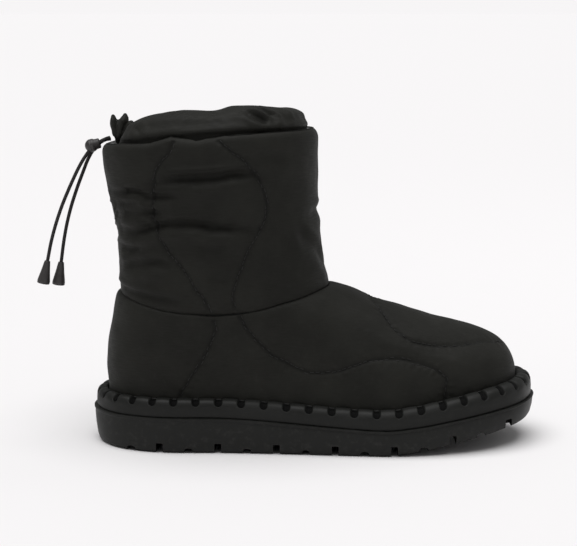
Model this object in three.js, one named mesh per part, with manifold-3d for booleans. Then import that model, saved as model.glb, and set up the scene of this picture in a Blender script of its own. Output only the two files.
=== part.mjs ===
// A quilted snow boot for the right foot. X runs from heel to toe, Y towards the inner side of the
// foot and Z up. The origin lies on the floor, below the middle of the boot. Lengths are millimetres.
import * as THREE from 'three';
import { mergeVertices } from 'three/addons/utils/BufferGeometryUtils.js';
import Module from 'manifold-3d';

// Sole
const soleLength = 281;
const ballWidth = 105;
const heelWidth = 87;
const heelLean = 1.5; // the heel's middle, towards the inner side
const toeLean = 6; // the toe's tip, towards the inner side
const heelStack = 22.5;
const ballStack = 16;
const toeStack = 13;
const toeSpring = 16;
const sideDraft = 4.2; // the flat underside starts this far in from the widest line
const grooveStart = 44; // from the heel's end to the first cross groove
const groovePitch = 36.2;
const grooveWidth = 4.2;
const grooveDepth = 6.4;
const channelSpread = 36; // between the two long channels under the sole
const channelWidth = 4;
const channelDepth = 4;
const channelEnd = 30; // from each end of the sole to the channels
const nickWidth = 5.4;
const nickDepth = 3.3;
const nickReach = 14; // how far a nick runs in from the side
const grooveLength = 50; // of a cross groove, from a long channel out past the side

// Welt, the rounded roll between sole and upper
const weltHeight = 11.4;
const weltToeRise = 2.2; // how much taller it is at the toe
const weltAtHeel = 9;
const weltAtToe = 11.5;
const weltSetIn = 1.3;
const weltEase = 0.3; // room behind it for the flats between its sections
const notchPitch = 13.8;
const notchWidth = 4.6;
const notchDepth = 2.6;

// Upper
const instepHeight = 73.2; // from the welt's top up to the throat
const heelRise = 62.2; // from the welt's top up to the back of the ankle seam
const seamDip = 12.6; // how far the seam drops at the sides
const seamTuck = 1.2;
const footWall = 3.5;
const widthBlend = 6; // how sharply foot and shaft join, higher is sharper
const throatEase = 4; // how often the join of foot and shaft is smoothed
const throatReach = 50; // how far from the throat it is smoothed in full
const footPuff = 2; // how far the padding swells past the last
const puffRun = 20; // the width at which the swelling is full
const topFullness = 2.3;

// Shaft
const shaftHeight = 92.5; // at the back, from seam to rim
const frontHeight = 95.6; // at the front
const rimLift = 3; // how far the rim rises at the sides
const shaftLength = 135;
const shaftWidth = 97;
const shaftSetIn = 7.3; // the shaft's back, in from the heel's end
const shaftWall = 6;
const rimRound = 1;
const shaftFullness = 2.25;

// Gathered collar
const collarWall = 2;
const collarHeight = 11.4; // above the rim
const collarLean = 4.2; // how much higher its outer side stands than its middle
const collarEnds = 1.8; // how much higher its front and back stand
const sideDraw = 11; // how far the cord draws its sides in
const collarDepth = 26; // below the rim
const gathers = 15;
const gatherDepth = 0.9;
const bunchHeight = 20;
const bunchWidth = 11.5;
const bunchDrop = 2; // its foot, below the rim

// Insole
const insoleThickness = 4;

// Draw cord, lock and ends
const cordDiameter = 2.2;
const lockDiameter = 8.4;
const lockNeck = 6.6;
const lockNeckTip = 6;
const lockLength = 5.2; // from the ball's middle to the neck's end
const cordEndLength = 14.6;
const cordEndWidth = 8;

const clearance = 0.3; // between neighbours
const sides = 60; // points round the boot
const curveSteps = 240; // points on a curve before it is shared out evenly
const cordSides = 8;
const cordStep = 2.5; // diameters between the cord's sections
const turnedSides = 14;
const ballSteps = 6;
const bunchSides = 16;
const bunchFolds = 4;
const bunchFoldDepth = 0.7;

const toeX = soleLength / 2;
const heelX = -soleLength / 2;

// Sections of the sole's outline, from toe to heel. Each half width is the sum of a share of the ball's
// width and a share of the heel's.
const outerOutline = [
  { along: 0.975, ball: 0.171, heel: 0 },
  { along: 0.93, ball: 0.31, heel: 0 },
  { along: 0.86, ball: 0.414, heel: 0 },
  { along: 0.77, ball: 0.479, heel: 0 },
  { along: 0.67, ball: 0.5, heel: 0 },
  { along: 0.55, ball: 0.476, heel: 0 },
  { along: 0.43, ball: 0.216, heel: 0.276 },
  { along: 0.3, ball: 0.1, heel: 0.384 },
  { along: 0.15, ball: 0, heel: 0.485 },
  { along: 0.06, ball: 0, heel: 0.363 },
  { along: 0.015, ball: 0, heel: 0.183 },
];
const innerOutline = [
  { along: 0.975, ball: 0.276, heel: 0 },
  { along: 0.93, ball: 0.381, heel: 0 },
  { along: 0.86, ball: 0.462, heel: 0 },
  { along: 0.77, ball: 0.496, heel: 0 },
  { along: 0.67, ball: 0.5, heel: 0 },
  { along: 0.55, ball: 0.448, heel: 0 },
  { along: 0.43, ball: 0.195, heel: 0.25 },
  { along: 0.3, ball: 0.095, heel: 0.372 },
  { along: 0.15, ball: 0, heel: 0.516 },
  { along: 0.06, ball: 0, heel: 0.396 },
  { along: 0.015, ball: 0, heel: 0.22 },
];

// Toe spring, as shares of its full lift
const springRows = [
  { along: 0, lift: 0 },
  { along: 0.64, lift: 0 },
  { along: 0.73, lift: 0.16 },
  { along: 0.81, lift: 0.42 },
  { along: 0.9, lift: 0.72 },
  { along: 1, lift: 1 },
];

// Thickness of the sole, as shares of its thickness at heel, ball and toe
const stackRows = [
  { along: 0, heel: 1, ball: 0, toe: 0 },
  { along: 0.25, heel: 1, ball: 0, toe: 0 },
  { along: 0.7, heel: 0, ball: 1, toe: 0 },
  { along: 1, heel: 0, ball: 0, toe: 1 },
];

// The sole's side from underside to welt: up as a share of its height, inset as a share of sideDraft
const soleSideRows = [
  { up: 0, inset: 1 },
  { up: 0.07, inset: 0.55 },
  { up: 0.2, inset: 0.34 },
  { up: 0.5, inset: 0.12 },
  { up: 0.84, inset: 0 },
  { up: 1, inset: 0.3 },
];

// The welt's section: inset as a share of its width, up as a share of its height, and notch how much of
// the notches' depth the row takes
const weltRows = [
  { inset: 1, up: 0, notch: 0 },
  { inset: 1, up: 0.9, notch: 0 },
  { inset: 0.78, up: 1, notch: 0.5 },
  { inset: 0.48, up: 0.99, notch: 1 },
  { inset: 0.2, up: 0.86, notch: 1 },
  { inset: 0.04, up: 0.62, notch: 0.35 },
  { inset: 0, up: 0.34, notch: 0 },
  { inset: 0.08, up: 0, notch: 0 },
];

// Rings of the upper, from the welt at up = -1 through the ankle seam at 0 to the rim at 1. back and front
// are shares of shaftLength measured from the shaft's back, and wide is a share of shaftWidth: they give
// the ankle and shaft. vamp is where a foot ring meets the ridge, from the toe at 0 to the throat at 1.
const bodyRows = [
  { up: -1, back: 0.016, front: 0.93, wide: 0.45, vamp: 0 },
  { up: -0.88, back: 0.011, front: 0.95, wide: 0.53, vamp: 0.05 },
  { up: -0.74, back: 0.0065, front: 0.97, wide: 0.61, vamp: 0.11 },
  { up: -0.57, back: 0.0105, front: 0.993, wide: 0.68, vamp: 0.19 },
  { up: -0.4, back: 0.025, front: 1.013, wide: 0.747, vamp: 0.31 },
  { up: -0.25, back: 0.0414, front: 1.035, wide: 0.8, vamp: 0.49 },
  { up: -0.13, back: 0.0528, front: 1.05, wide: 0.84, vamp: 0.7 },
  { up: -0.05, back: 0.0593, front: 1.058, wide: 0.862, vamp: 0.88 },
  { up: 0, back: 0.0627, front: 1.0622, wide: 0.875, vamp: 1 },
  { up: 0.12, back: 0.073, front: 1.0315, wide: 0.897, vamp: 1 },
  { up: 0.32, back: 0.0745, front: 1.009, wide: 0.927, vamp: 1 },
  { up: 0.5, back: 0.0607, front: 0.998, wide: 0.95, vamp: 1 },
  { up: 0.7, back: 0.0267, front: 0.997, wide: 0.975, vamp: 1 },
  { up: 0.86, back: 0.007, front: 0.997, wide: 0.99, vamp: 1 },
  { up: 0.97, back: 0, front: 0.997, wide: 1, vamp: 1 },
  { up: 1, back: 0, front: 0.997, wide: 1, vamp: 1 },
];

// The ridge of the vamp, from the toe up to the throat: ahead is a share of the way from throat to toe,
// up a share of the way from the welt's top at the toe to the throat
const vampRows = [
  { ahead: 1, up: 0 },
  { ahead: 0.991, up: 0.14 },
  { ahead: 0.967, up: 0.287 },
  { ahead: 0.922, up: 0.395 },
  { ahead: 0.85, up: 0.472 },
  { ahead: 0.754, up: 0.515 },
  { ahead: 0.62, up: 0.565 },
  { ahead: 0.489, up: 0.616 },
  { ahead: 0.355, up: 0.715 },
  { ahead: 0.222, up: 0.828 },
  { ahead: 0.106, up: 0.923 },
  { ahead: 0, up: 1 },
];

// The collar: down is a share of collarDepth below the rim, up a share of its height above it, inset its
// distance inside the shaft's inner face as a share of shaftWall, draw a share of sideDraw and gather a
// share of gatherDepth
const collarRows = [
  { down: 1, up: 0, inset: 0, draw: 0, gather: 0 },
  { down: 0.3, up: 0, inset: 0, draw: 0, gather: 0 },
  { down: 0, up: 0.08, inset: 0.42, draw: 0.15, gather: 0.3 },
  { down: 0, up: 0.5, inset: 0.62, draw: 0.35, gather: 1 },
  { down: 0, up: 0.84, inset: 0.9, draw: 0.6, gather: 1 },
  { down: 0, up: 1, inset: 1.5, draw: 1, gather: 0.8 },
];

// The bunched end of the collar: up as a share of bunchHeight, back as a share of bunchWidth towards the
// heel, long and wide as shares of bunchWidth
const bunchRows = [
  { up: 0, back: 0.06, long: 0.34, wide: 0.42 },
  { up: 0.35, back: 0.04, long: 0.45, wide: 0.5 },
  { up: 0.6, back: 0.06, long: 0.5, wide: 0.52 },
  { up: 0.82, back: 0.12, long: 0.5, wide: 0.48 },
  { up: 0.95, back: 0.15, long: 0.38, wide: 0.38 },
  { up: 1, back: 0.15, long: 0.2, wide: 0.22 },
];

// The cord's moulded end, a bell: wide as a share of its width, down as a share of its length
const endRows = [
  { wide: 0, down: 0 },
  { wide: 0.44, down: 0 },
  { wide: 0.52, down: 0.12 },
  { wide: 0.74, down: 0.5 },
  { wide: 1, down: 0.88 },
  { wide: 0.96, down: 1 },
  { wide: 0, down: 1 },
];

// The cord's two routes, from the collar through the lock to the moulded ends, chosen by hand
const nearRoute = [
  [-127.8, -1.6, 192.4], [-130.6, -1.7, 191.5], [-134.2, -1.7, 189.7], [-137.6, -1.7, 187.2],
  [-141, -1.7, 184], [-145, -1.8, 178.4], [-148.4, -1.9, 172.4], [-151.5, -2, 166.1],
  [-154.5, -2.1, 159.6], [-159, -2.2, 149], [-162.9, -2.3, 137.9], [-166, -2.4, 127],
  [-168.6, -2.5, 114.9],
];
const farRoute = [
  [-127.8, 1.8, 191.2], [-130.8, 1.8, 190.8], [-134.3, 1.7, 189], [-137.3, 1.7, 186.3],
  [-140.2, 1.7, 182.4], [-142.9, 1.8, 177.3], [-145.2, 1.9, 171.6], [-147.6, 2, 165.6],
  [-149.8, 2.1, 159.8], [-153.6, 2.2, 148.6], [-156.5, 2.3, 137.8], [-158.7, 2.4, 126.8],
  [-160.7, 2.5, 113.4],
];
const pointsThroughLock = 8;
const lockPlace = [-139.7, 0, 187.2];
const lockNeckEnd = [-134.5, 0, 188.8];

const wasm = await Module();
wasm.setup();

function mix(a, b, share) {
  return a + (b - a) * share;
}

function ease(from, to, value) {
  const share = Math.min(Math.max((value - from) / (to - from), 0), 1);
  return share * share * (3 - 2 * share);
}

// Reads a column of a table between its rows, on a smooth curve that doesn't overshoot.
function read(rows, key, column, value) {
  const rising = rows[rows.length - 1][key] > rows[0][key];
  const at = rising ? rows : [...rows].reverse();
  const last = at.length - 1;
  if (value <= at[0][key]) return at[0][column];
  if (value >= at[last][key]) return at[last][column];
  const k = at.findIndex((row, index) => index < last && value < at[index + 1][key]);
  const slopeAfter = (i) => (at[i + 1][column] - at[i][column]) / (at[i + 1][key] - at[i][key]);
  const slopeAt = (i) => {
    if (i === 0) return slopeAfter(0);
    if (i === last) return slopeAfter(last - 1);
    const before = slopeAfter(i - 1);
    const after = slopeAfter(i);
    return before * after <= 0 ? 0 : (2 * before * after) / (before + after);
  };
  const span = at[k + 1][key] - at[k][key];
  const t = (value - at[k][key]) / span;
  const start = at[k][column] * (1 + 2 * t) * (1 - t) ** 2 + at[k + 1][column] * t * t * (3 - 2 * t);
  return start + span * (slopeAt(k) * t * (1 - t) ** 2 + slopeAt(k + 1) * t * t * (t - 1));
}

// Points at equal steps along a run of points.
function spaced(points, count) {
  const reached = [0];
  for (let i = 1; i < points.length; i += 1) {
    reached.push(reached[i - 1] + points[i].distanceTo(points[i - 1]));
  }
  const total = reached[reached.length - 1];
  const result = [];
  let k = 1;
  for (let i = 0; i <= count; i += 1) {
    const goal = (total * i) / count;
    while (k < points.length - 1 && reached[k] < goal) k += 1;
    const share = (goal - reached[k - 1]) / (reached[k] - reached[k - 1]);
    result.push(points[k - 1].clone().lerp(points[k], Math.min(Math.max(share, 0), 1)));
  }
  return result;
}

// Heights along the boot

function shareAlong(x) {
  return (x - heelX) / soleLength;
}

function floorLift(x) {
  return toeSpring * read(springRows, 'along', 'lift', shareAlong(x));
}

function soleTop(x) {
  const along = shareAlong(x);
  const heel = heelStack * read(stackRows, 'along', 'heel', along);
  const ball = ballStack * read(stackRows, 'along', 'ball', along);
  const toe = toeStack * read(stackRows, 'along', 'toe', along);
  return floorLift(x) + heel + ball + toe;
}

function weltRise(x) {
  return weltHeight + weltToeRise * ease(0, toeX, x);
}

function weltTop(x) {
  return soleTop(x) + weltRise(x);
}

function weltWidth(x) {
  return mix(weltAtHeel, weltAtToe, ease(heelX, toeX, x));
}

function middle(x) {
  return mix(heelLean, toeLean, ease(0, toeX, x));
}

// The sole's outline as two halves from toe to heel, each point with its normal

function outlinePoint(row, side) {
  return new THREE.Vector3(
    heelX + row.along * soleLength,
    side * (row.ball * ballWidth + row.heel * heelWidth),
    0,
  );
}

// Each half runs one point past both ends, on the other side, so that the halves meet smoothly there.
function outlineHalf(rows, otherRows, side) {
  const points = [
    outlinePoint(otherRows[0], -side),
    new THREE.Vector3(toeX, toeLean, 0),
    ...rows.map((row) => outlinePoint(row, side)),
    new THREE.Vector3(heelX, heelLean, 0),
    outlinePoint(otherRows[otherRows.length - 1], -side),
  ];
  const curve = new THREE.CatmullRomCurve3(points, false, 'centripetal');
  const spans = points.length - 1;
  const dense = [];
  for (let i = 0; i <= curveSteps; i += 1) {
    dense.push(curve.getPoint(mix(1 / spans, 1 - 1 / spans, i / curveSteps)));
  }
  return dense;
}

const halves = [
  outlineHalf(outerOutline, innerOutline, -1),
  outlineHalf(innerOutline, outerOutline, 1),
];

// Points of one half, each moved inwards by inset(x), at equal steps of the outline itself.
function insetHalf(half, count, inset) {
  const side = half === halves[0] ? -1 : 1;
  const points = spaced(half, count);
  return points.map((point, i) => {
    const ahead = points[Math.max(i - 1, 0)];
    const behind = points[Math.min(i + 1, count)];
    const run = ahead.clone().sub(behind).normalize();
    const inwards = new THREE.Vector3(-run.y, run.x, 0).multiplyScalar(-side);
    if (i === 0) inwards.set(-1, 0, 0);
    if (i === count) inwards.set(1, 0, 0);
    return point.clone().addScaledVector(inwards, inset(point.x));
  });
}

// A whole ring: the outer half from toe to heel, then the inner half back to the toe.
function joinHalves(outer, inner) {
  return [...outer, ...inner.slice(1, -1).reverse()];
}

function outlineRing(inset, height) {
  const ring = joinHalves(insetHalf(halves[0], sides / 2, inset), insetHalf(halves[1], sides / 2, inset));
  return ring.map((point) => point.setZ(height(point.x)));
}

// Solids from rings of points

function solidGeometry(points, faces) {
  let volume = 0;
  for (let i = 0; i < faces.length; i += 3) {
    const [a, b, c] = [points[faces[i]], points[faces[i + 1]], points[faces[i + 2]]];
    volume += a.dot(b.clone().cross(c));
  }
  const facing = volume > 0 ? faces : [...faces].reverse();
  const geometry = new THREE.BufferGeometry();
  const places = points.flatMap((point) => [point.x, point.y, point.z]);
  geometry.setAttribute('position', new THREE.Float32BufferAttribute(places, 3));
  geometry.setIndex(facing);
  return geometry;
}

// The faces between neighbouring rings, each split along its shorter diagonal.
function bandFaces(rings, closed) {
  const count = rings[0].length;
  const faces = [];
  const last = closed ? rings.length : rings.length - 1;
  for (let k = 0; k < last; k += 1) {
    const next = (k + 1) % rings.length;
    for (let i = 0; i < count; i += 1) {
      const j = (i + 1) % count;
      const [a, b, c, d] = [k * count + i, k * count + j, next * count + j, next * count + i];
      const rising = rings[k][i].distanceTo(rings[next][j]);
      const falling = rings[k][j].distanceTo(rings[next][i]);
      if (rising < falling) faces.push(a, b, c, a, c, d);
      else faces.push(a, b, d, b, c, d);
    }
  }
  return faces;
}

// A closed band: each ring joins the next, and the last joins the first.
function ringSolid(rings) {
  return solidGeometry(rings.flat(), bandFaces(rings, true));
}

// A stack of rings with both ends closed by strips from side to side.
function stackSolid(rings) {
  const count = rings[0].length;
  const faces = bandFaces(rings, false);
  const close = (start, turned) => {
    for (let i = 0; i < count / 2; i += 1) {
      const [a, b] = [start + i, start + i + 1];
      const [c, d] = [start + ((count - i) % count), start + count - i - 1];
      if (i > 0) faces.push(...(turned ? [a, b, c] : [a, c, b]));
      if (i < count / 2 - 1) faces.push(...(turned ? [b, d, c] : [b, c, d]));
    }
  };
  close(0, false);
  close((rings.length - 1) * count, true);
  return solidGeometry(rings.flat(), faces);
}

// Joins and cuts

function toSolid(geometry) {
  const bare = geometry.clone();
  bare.deleteAttribute('normal');
  bare.deleteAttribute('uv');
  const merged = mergeVertices(bare);
  return new wasm.Manifold(new wasm.Mesh({
    numProp: 3,
    vertProperties: new Float32Array(merged.attributes.position.array),
    triVerts: new Uint32Array(merged.index.array),
  }));
}

function toGeometry(solid) {
  const mesh = solid.getMesh();
  const geometry = new THREE.BufferGeometry();
  geometry.setAttribute('position', new THREE.BufferAttribute(new Float32Array(mesh.vertProperties), 3));
  geometry.setIndex(new THREE.BufferAttribute(new Uint32Array(mesh.triVerts), 1));
  return geometry;
}

function cut(geometry, cutters) {
  let solid = toSolid(geometry);
  for (const cutter of cutters) solid = solid.subtract(toSolid(cutter));
  return toGeometry(solid);
}

// Sole

function groovePlaces() {
  const places = [];
  for (let x = heelX + grooveStart; x < toeX - groovePitch / 2; x += groovePitch) places.push(x);
  return places;
}

function soleCutters() {
  const cutters = [];
  for (const x of groovePlaces()) {
    for (const side of [-1, 1]) {
      const groove = new THREE.BoxGeometry(grooveWidth, grooveLength, grooveDepth * 2);
      groove.translate(x, side * (channelSpread + grooveLength) / 2, floorLift(x));
      cutters.push(groove);
      const place = x - groovePitch / 2;
      const nick = new THREE.CylinderGeometry(nickWidth / 2, nickWidth / 2, ballWidth, 4);
      nick.scale(1, 1, (nickDepth * 2) / nickWidth);
      nick.translate(place, side * (halfWidthAt(place, side) - nickReach + ballWidth / 2), floorLift(place));
      cutters.push(nick);
    }
  }
  for (const side of [-1, 1]) {
    const channel = new THREE.BoxGeometry(soleLength - 2 * channelEnd, channelWidth, channelDepth * 2);
    channel.translate(0, side * channelSpread / 2, 0);
    cutters.push(channel);
  }
  return cutters;
}

function halfWidthAt(x, side) {
  const half = side < 0 ? halves[0] : halves[1];
  const nearest = half.reduce((best, point) => (Math.abs(point.x - x) < Math.abs(best.x - x) ? point : best));
  return Math.abs(nearest.y);
}

function makeOutsole() {
  const rings = soleSideRows.map((row) => outlineRing(
    () => row.inset * sideDraft,
    (x) => mix(floorLift(x), soleTop(x), row.up),
  ));
  return cut(stackSolid(rings), soleCutters());
}

// Welt

function polygonPoint(points, share) {
  const place = share * (points.length - 1);
  const k = Math.floor(place);
  return points[k].clone().lerp(points[k + 1], place - k);
}

// Shares of a half outline where the welt has a section, with the depth of the notch there.
function notchStops(half) {
  const length = half.reduce((sum, point, i) => (i ? sum + point.distanceTo(half[i - 1]) : 0), 0);
  const count = Math.round(length / notchPitch);
  const stops = [];
  for (let i = 0; i < count; i += 1) {
    const place = (i + 0.5) / count;
    const reach = notchWidth / 2 / length;
    stops.push({ share: place - reach, deep: 0 });
    stops.push({ share: place, deep: 1 });
    stops.push({ share: place + reach, deep: 0 });
  }
  return stops;
}

function weltSections(half) {
  const outerLine = insetHalf(half, sides / 2, () => weltSetIn);
  const innerLine = insetHalf(half, sides / 2, (x) => weltWidth(x) - clearance - weltEase);
  return notchStops(half).map((stop) => {
    const outside = polygonPoint(outerLine, stop.share);
    const inside = polygonPoint(innerLine, stop.share);
    return weltRows.map((row) => {
      const point = outside.clone().lerp(inside, row.inset);
      const inwards = inside.clone().sub(outside).normalize();
      point.addScaledVector(inwards, stop.deep * row.notch * (1 - row.inset) * notchDepth);
      const height = mix(clearance, weltRise(point.x), row.up) - stop.deep * row.notch * notchDepth;
      return point.setZ(soleTop(point.x) + height);
    });
  });
}

function makeWelt() {
  const outer = weltSections(halves[0]);
  const inner = weltSections(halves[1]).reverse();
  return ringSolid([...outer, ...inner]);
}

// Insole

function insoleInset(x) {
  return weltWidth(x) + footWall + clearance;
}

function makeInsole() {
  const bottom = outlineRing(insoleInset, (x) => soleTop(x) + clearance);
  const top = outlineRing(insoleInset, (x) => soleTop(x) + clearance + insoleThickness);
  return stackSolid([bottom, top]);
}

// Upper

const backX = heelX + shaftSetIn;
const throatX = backX + read(bodyRows, 'up', 'front', 0) * shaftLength;
const seamBackX = backX + read(bodyRows, 'up', 'back', 0) * shaftLength;
const vampToeX = toeX - weltAtToe;
const seamBackZ = weltTop(heelX) + heelRise;
const throatZ = weltTop(throatX) + instepHeight;

function vampCurve() {
  const toeZ = weltTop(vampToeX);
  const points = vampRows.map((row) => new THREE.Vector3(
    mix(throatX, vampToeX, row.ahead),
    0,
    mix(toeZ, throatZ, row.up),
  ));
  const curve = new THREE.CatmullRomCurve3(points, false, 'centripetal');
  return spaced(curve.getPoints(curveSteps), curveSteps);
}
const vamp = vampCurve();

// The ridge's height over x. Behind the throat it runs straight on up through the shaft.
function ridgeHeight(x) {
  const end = vamp.length - 1;
  const found = vamp.findIndex((point) => point.x < x);
  const k = found < 0 ? end : Math.max(found, 1);
  const share = (vamp[k - 1].x - x) / (vamp[k - 1].x - vamp[k].x);
  return mix(vamp[k - 1].z, vamp[k].z, Math.max(share, 0));
}

// A bow between two ends: nothing at 0 and 1, and 1 in the middle
function bow(share) {
  return 4 * share * (1 - share);
}

function seamHeight(x) {
  const share = Math.min(Math.max((x - seamBackX) / (throatX - seamBackX), 0), 1);
  return mix(seamBackZ, throatZ, share) - bow(share) * seamDip;
}

function rimHeight(x) {
  const share = Math.min(Math.max((x - backX) / shaftLength, 0), 1);
  const straight = mix(seamBackZ + shaftHeight, throatZ + frontHeight, share);
  return straight + bow(share) * rimLift;
}

// How far up a point lies: -1 at the welt, 0 at the seam, 1 at the rim.
function upAt(x, z) {
  const seam = seamHeight(x);
  return z < seam ? (z - seam) / (seam - weltTop(x)) : (z - seam) / (rimHeight(x) - seam);
}

const featherHalves = halves.map((half) => insetHalf(half, curveSteps, weltWidth));

function featherWidth(x, side) {
  const line = featherHalves[side < 0 ? 0 : 1];
  const k = line.findIndex((point) => point.x < x);
  if (k <= 0) return 0;
  const share = (line[k - 1].x - x) / (line[k - 1].x - line[k].x);
  return Math.abs(mix(line[k - 1].y, line[k].y, share) - middle(x));
}

// Half the foot's width. Towards the heel it follows the back of the upper, which leans.
function footHalfWidth(x, z, side) {
  const low = weltTop(x);
  const high = ridgeHeight(x);
  const share = Math.min(Math.max((z - low) / (high - low), 0), 1);
  const lean = heelX + weltAtHeel - backX - read(bodyRows, 'up', 'back', upAt(x, z)) * shaftLength;
  const width = featherWidth(x + lean * (1 - ease(heelX, heelX + heelWidth, x)), side);
  const puff = footPuff * Math.sin(Math.PI * share) * ease(0, puffRun, width);
  return (width + puff) * (1 - share ** topFullness) ** (1 / topFullness);
}

function shaftHalfWidth(x, z) {
  const up = upAt(x, z);
  const back = backX + read(bodyRows, 'up', 'back', up) * shaftLength;
  const front = backX + read(bodyRows, 'up', 'front', up) * shaftLength;
  const off = Math.abs((2 * x - back - front) / (front - back));
  if (off >= 1) return 0;
  const width = (shaftWidth / 2) * read(bodyRows, 'up', 'wide', up);
  return width * (1 - off ** shaftFullness) ** (1 / shaftFullness);
}

// The larger of two widths, with a soft join where they are alike.
function blendWidths(a, b) {
  return (a ** widthBlend + b ** widthBlend) ** (1 / widthBlend);
}

// One half of a ring on the upper's outer face, from front to back.
function bodyHalf(row, side) {
  const inFoot = row.up < 0;
  const back = new THREE.Vector3(backX + row.back * shaftLength, heelLean, 0);
  back.z = inFoot
    ? mix(weltTop(heelX), seamBackZ, 1 + row.up)
    : mix(seamBackZ, seamBackZ + shaftHeight, row.up);
  const front = inFoot
    ? vamp[Math.round(row.vamp * curveSteps)].clone()
    : new THREE.Vector3(backX + row.front * shaftLength, 0, mix(throatZ, throatZ + frontHeight, row.up));
  front.y = middle(front.x);
  const bend = (share) => {
    if (!inFoot) return bow(share) * mix(-seamDip, rimLift, row.up);
    const x = mix(heelX + weltAtHeel, vampToeX, share);
    const feather = weltTop(x) - mix(weltTop(heelX + weltAtHeel), weltTop(vampToeX), share);
    return mix(feather, -bow(share) * seamDip, 1 + row.up);
  };
  const dense = [front];
  for (let i = 1; i < curveSteps; i += 1) {
    const share = (1 + Math.cos((Math.PI * i) / curveSteps)) / 2;
    const x = mix(back.x, front.x, share);
    const z = mix(back.z, front.z, share) + bend(share);
    const width = blendWidths(footHalfWidth(x, z, side), shaftHalfWidth(x, z));
    dense.push(new THREE.Vector3(x, middle(x) + side * width, z));
  }
  dense.push(back);
  return spaced(dense, sides / 2);
}

function bodyRing(row) {
  if (row.up === -1) return outlineRing(weltWidth, weltTop);
  return joinHalves(bodyHalf(row, -1), bodyHalf(row, 1));
}

// Inward directions of a stack of rings
function inwardsOf(rings) {
  return rings.map((ring, k) => ring.map((point, i) => {
    const above = rings[Math.min(k + 1, rings.length - 1)][i];
    const below = rings[Math.max(k - 1, 0)][i];
    return roundAt(ring, i).cross(above.clone().sub(below)).normalize();
  }));
}

function roundAt(ring, i) {
  const count = ring.length;
  return ring[(i + 1) % count].clone().sub(ring[(i + count - 1) % count]);
}

const seamIndex = 1 + bodyRows.findIndex((row) => row.up === 0);

// Foot and shaft meet in a soft hollow in front of the ankle: points there move towards their neighbours.
function easeThroat(rings) {
  const fixed = [0, sides / 2];
  for (let k = 2; k < seamIndex; k += 1) {
    const moved = rings[k].map((point, i) => {
      if (fixed.includes(i)) return point;
      const reach = Math.abs(point.x - throatX + throatReach / 2);
      const amount = (1 - ease(throatReach, 2 * throatReach, reach)) / 2;
      const round = rings[k][i - 1].clone().add(rings[k][(i + 1) % sides]);
      return point.clone().lerp(round.add(rings[k - 1][i]).add(rings[k + 1][i]).divideScalar(4), amount);
    });
    moved.forEach((point, i) => rings[k][i].copy(point));
  }
}

function tuckedRings() {
  const rings = [outlineRing(weltWidth, (x) => soleTop(x) + clearance), ...bodyRows.map(bodyRing)];
  for (let i = 0; i < throatEase; i += 1) easeThroat(rings);
  const inwards = inwardsOf(rings);
  rings[seamIndex].forEach((point, i) => point.addScaledVector(inwards[seamIndex][i], seamTuck));
  return rings;
}

const bodyRings = tuckedRings();
const bodyInwards = inwardsOf(bodyRings);

// The wall between two rings of the upper, drawn back from its neighbour at the seam.
function makeWall(first, last, wallAt) {
  const outer = [];
  const inner = [];
  for (let k = first; k <= last; k += 1) {
    const drawn = k === seamIndex ? (k === first ? clearance / 2 : -clearance / 2) : 0;
    const outside = bodyRings[k].map((point, i) => {
      const upwards = bodyInwards[k][i].clone().cross(roundAt(bodyRings[k], i)).normalize();
      return point.clone().addScaledVector(upwards, drawn);
    });
    outer.push(outside);
    inner.push(outside.map((point, i) => point.clone().addScaledVector(bodyInwards[k][i], wallAt(k))));
  }
  return ringSolid([...outer, ...inner.reverse()]);
}

function makeFootUpper() {
  return makeWall(0, seamIndex, () => footWall);
}

function makeShaft() {
  const last = bodyRings.length - 1;
  bodyRings[last].forEach((point, i) => point.addScaledVector(bodyInwards[last][i], rimRound));
  return makeWall(seamIndex, last, (k) => (k === last ? shaftWall - 2 * rimRound : shaftWall));
}

// Collar

function shaftRingAt(up) {
  const row = { up, vamp: 1 };
  for (const column of ['back', 'front', 'wide']) row[column] = read(bodyRows, 'up', column, up);
  return bodyRing(row);
}

function collarRings(inset) {
  const foot = 1 - collarDepth / shaftHeight;
  const base = collarRows.map((row) => shaftRingAt(mix(1, foot, row.down)));
  const evenly = collarRows.map((row, k) => mix(foot, 1, k / (collarRows.length - 1)));
  const inwards = inwardsOf(evenly.map(shaftRingAt));
  return collarRows.map((row, k) => base[k].map((point, i) => {
    const direction = inwards[k][i];
    const gather = row.gather * gatherDepth * (1 + Math.cos((2 * Math.PI * gathers * i) / sides));
    const draw = row.draw * sideDraw * Math.abs(direction.y);
    const depth = shaftWall + clearance + row.inset * shaftWall + draw + gather + inset;
    const moved = point.clone().addScaledVector(direction, depth);
    const rise = collarHeight + collarLean * direction.y + collarEnds * direction.x ** 2;
    return moved.setZ(moved.z + row.up * rise);
  }));
}

function bunchRings() {
  const footZ = seamBackZ + shaftHeight - bunchDrop;
  const place = backX + shaftWall + clearance + bunchWidth / 2;
  return bunchRows.map((row) => {
    const ring = [];
    for (let i = 0; i < bunchSides; i += 1) {
      const angle = (2 * Math.PI * i) / bunchSides;
      const fold = bunchFoldDepth * Math.cos(bunchFolds * angle);
      const x = place - bunchWidth * row.back + (bunchWidth * row.long + fold) * Math.cos(angle);
      const y = heelLean + (bunchWidth * row.wide + fold) * Math.sin(angle);
      ring.push(new THREE.Vector3(x, y, footZ + row.up * bunchHeight));
    }
    return ring;
  });
}

function makeCollar() {
  const band = ringSolid([...collarRings(0), ...collarRings(collarWall).reverse()]);
  return toGeometry(toSolid(band).add(toSolid(stackSolid(bunchRings()))));
}

// Draw cord, lock and moulded ends

function route(points) {
  return new THREE.CatmullRomCurve3(points.map((point) => new THREE.Vector3(...point)));
}

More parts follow.
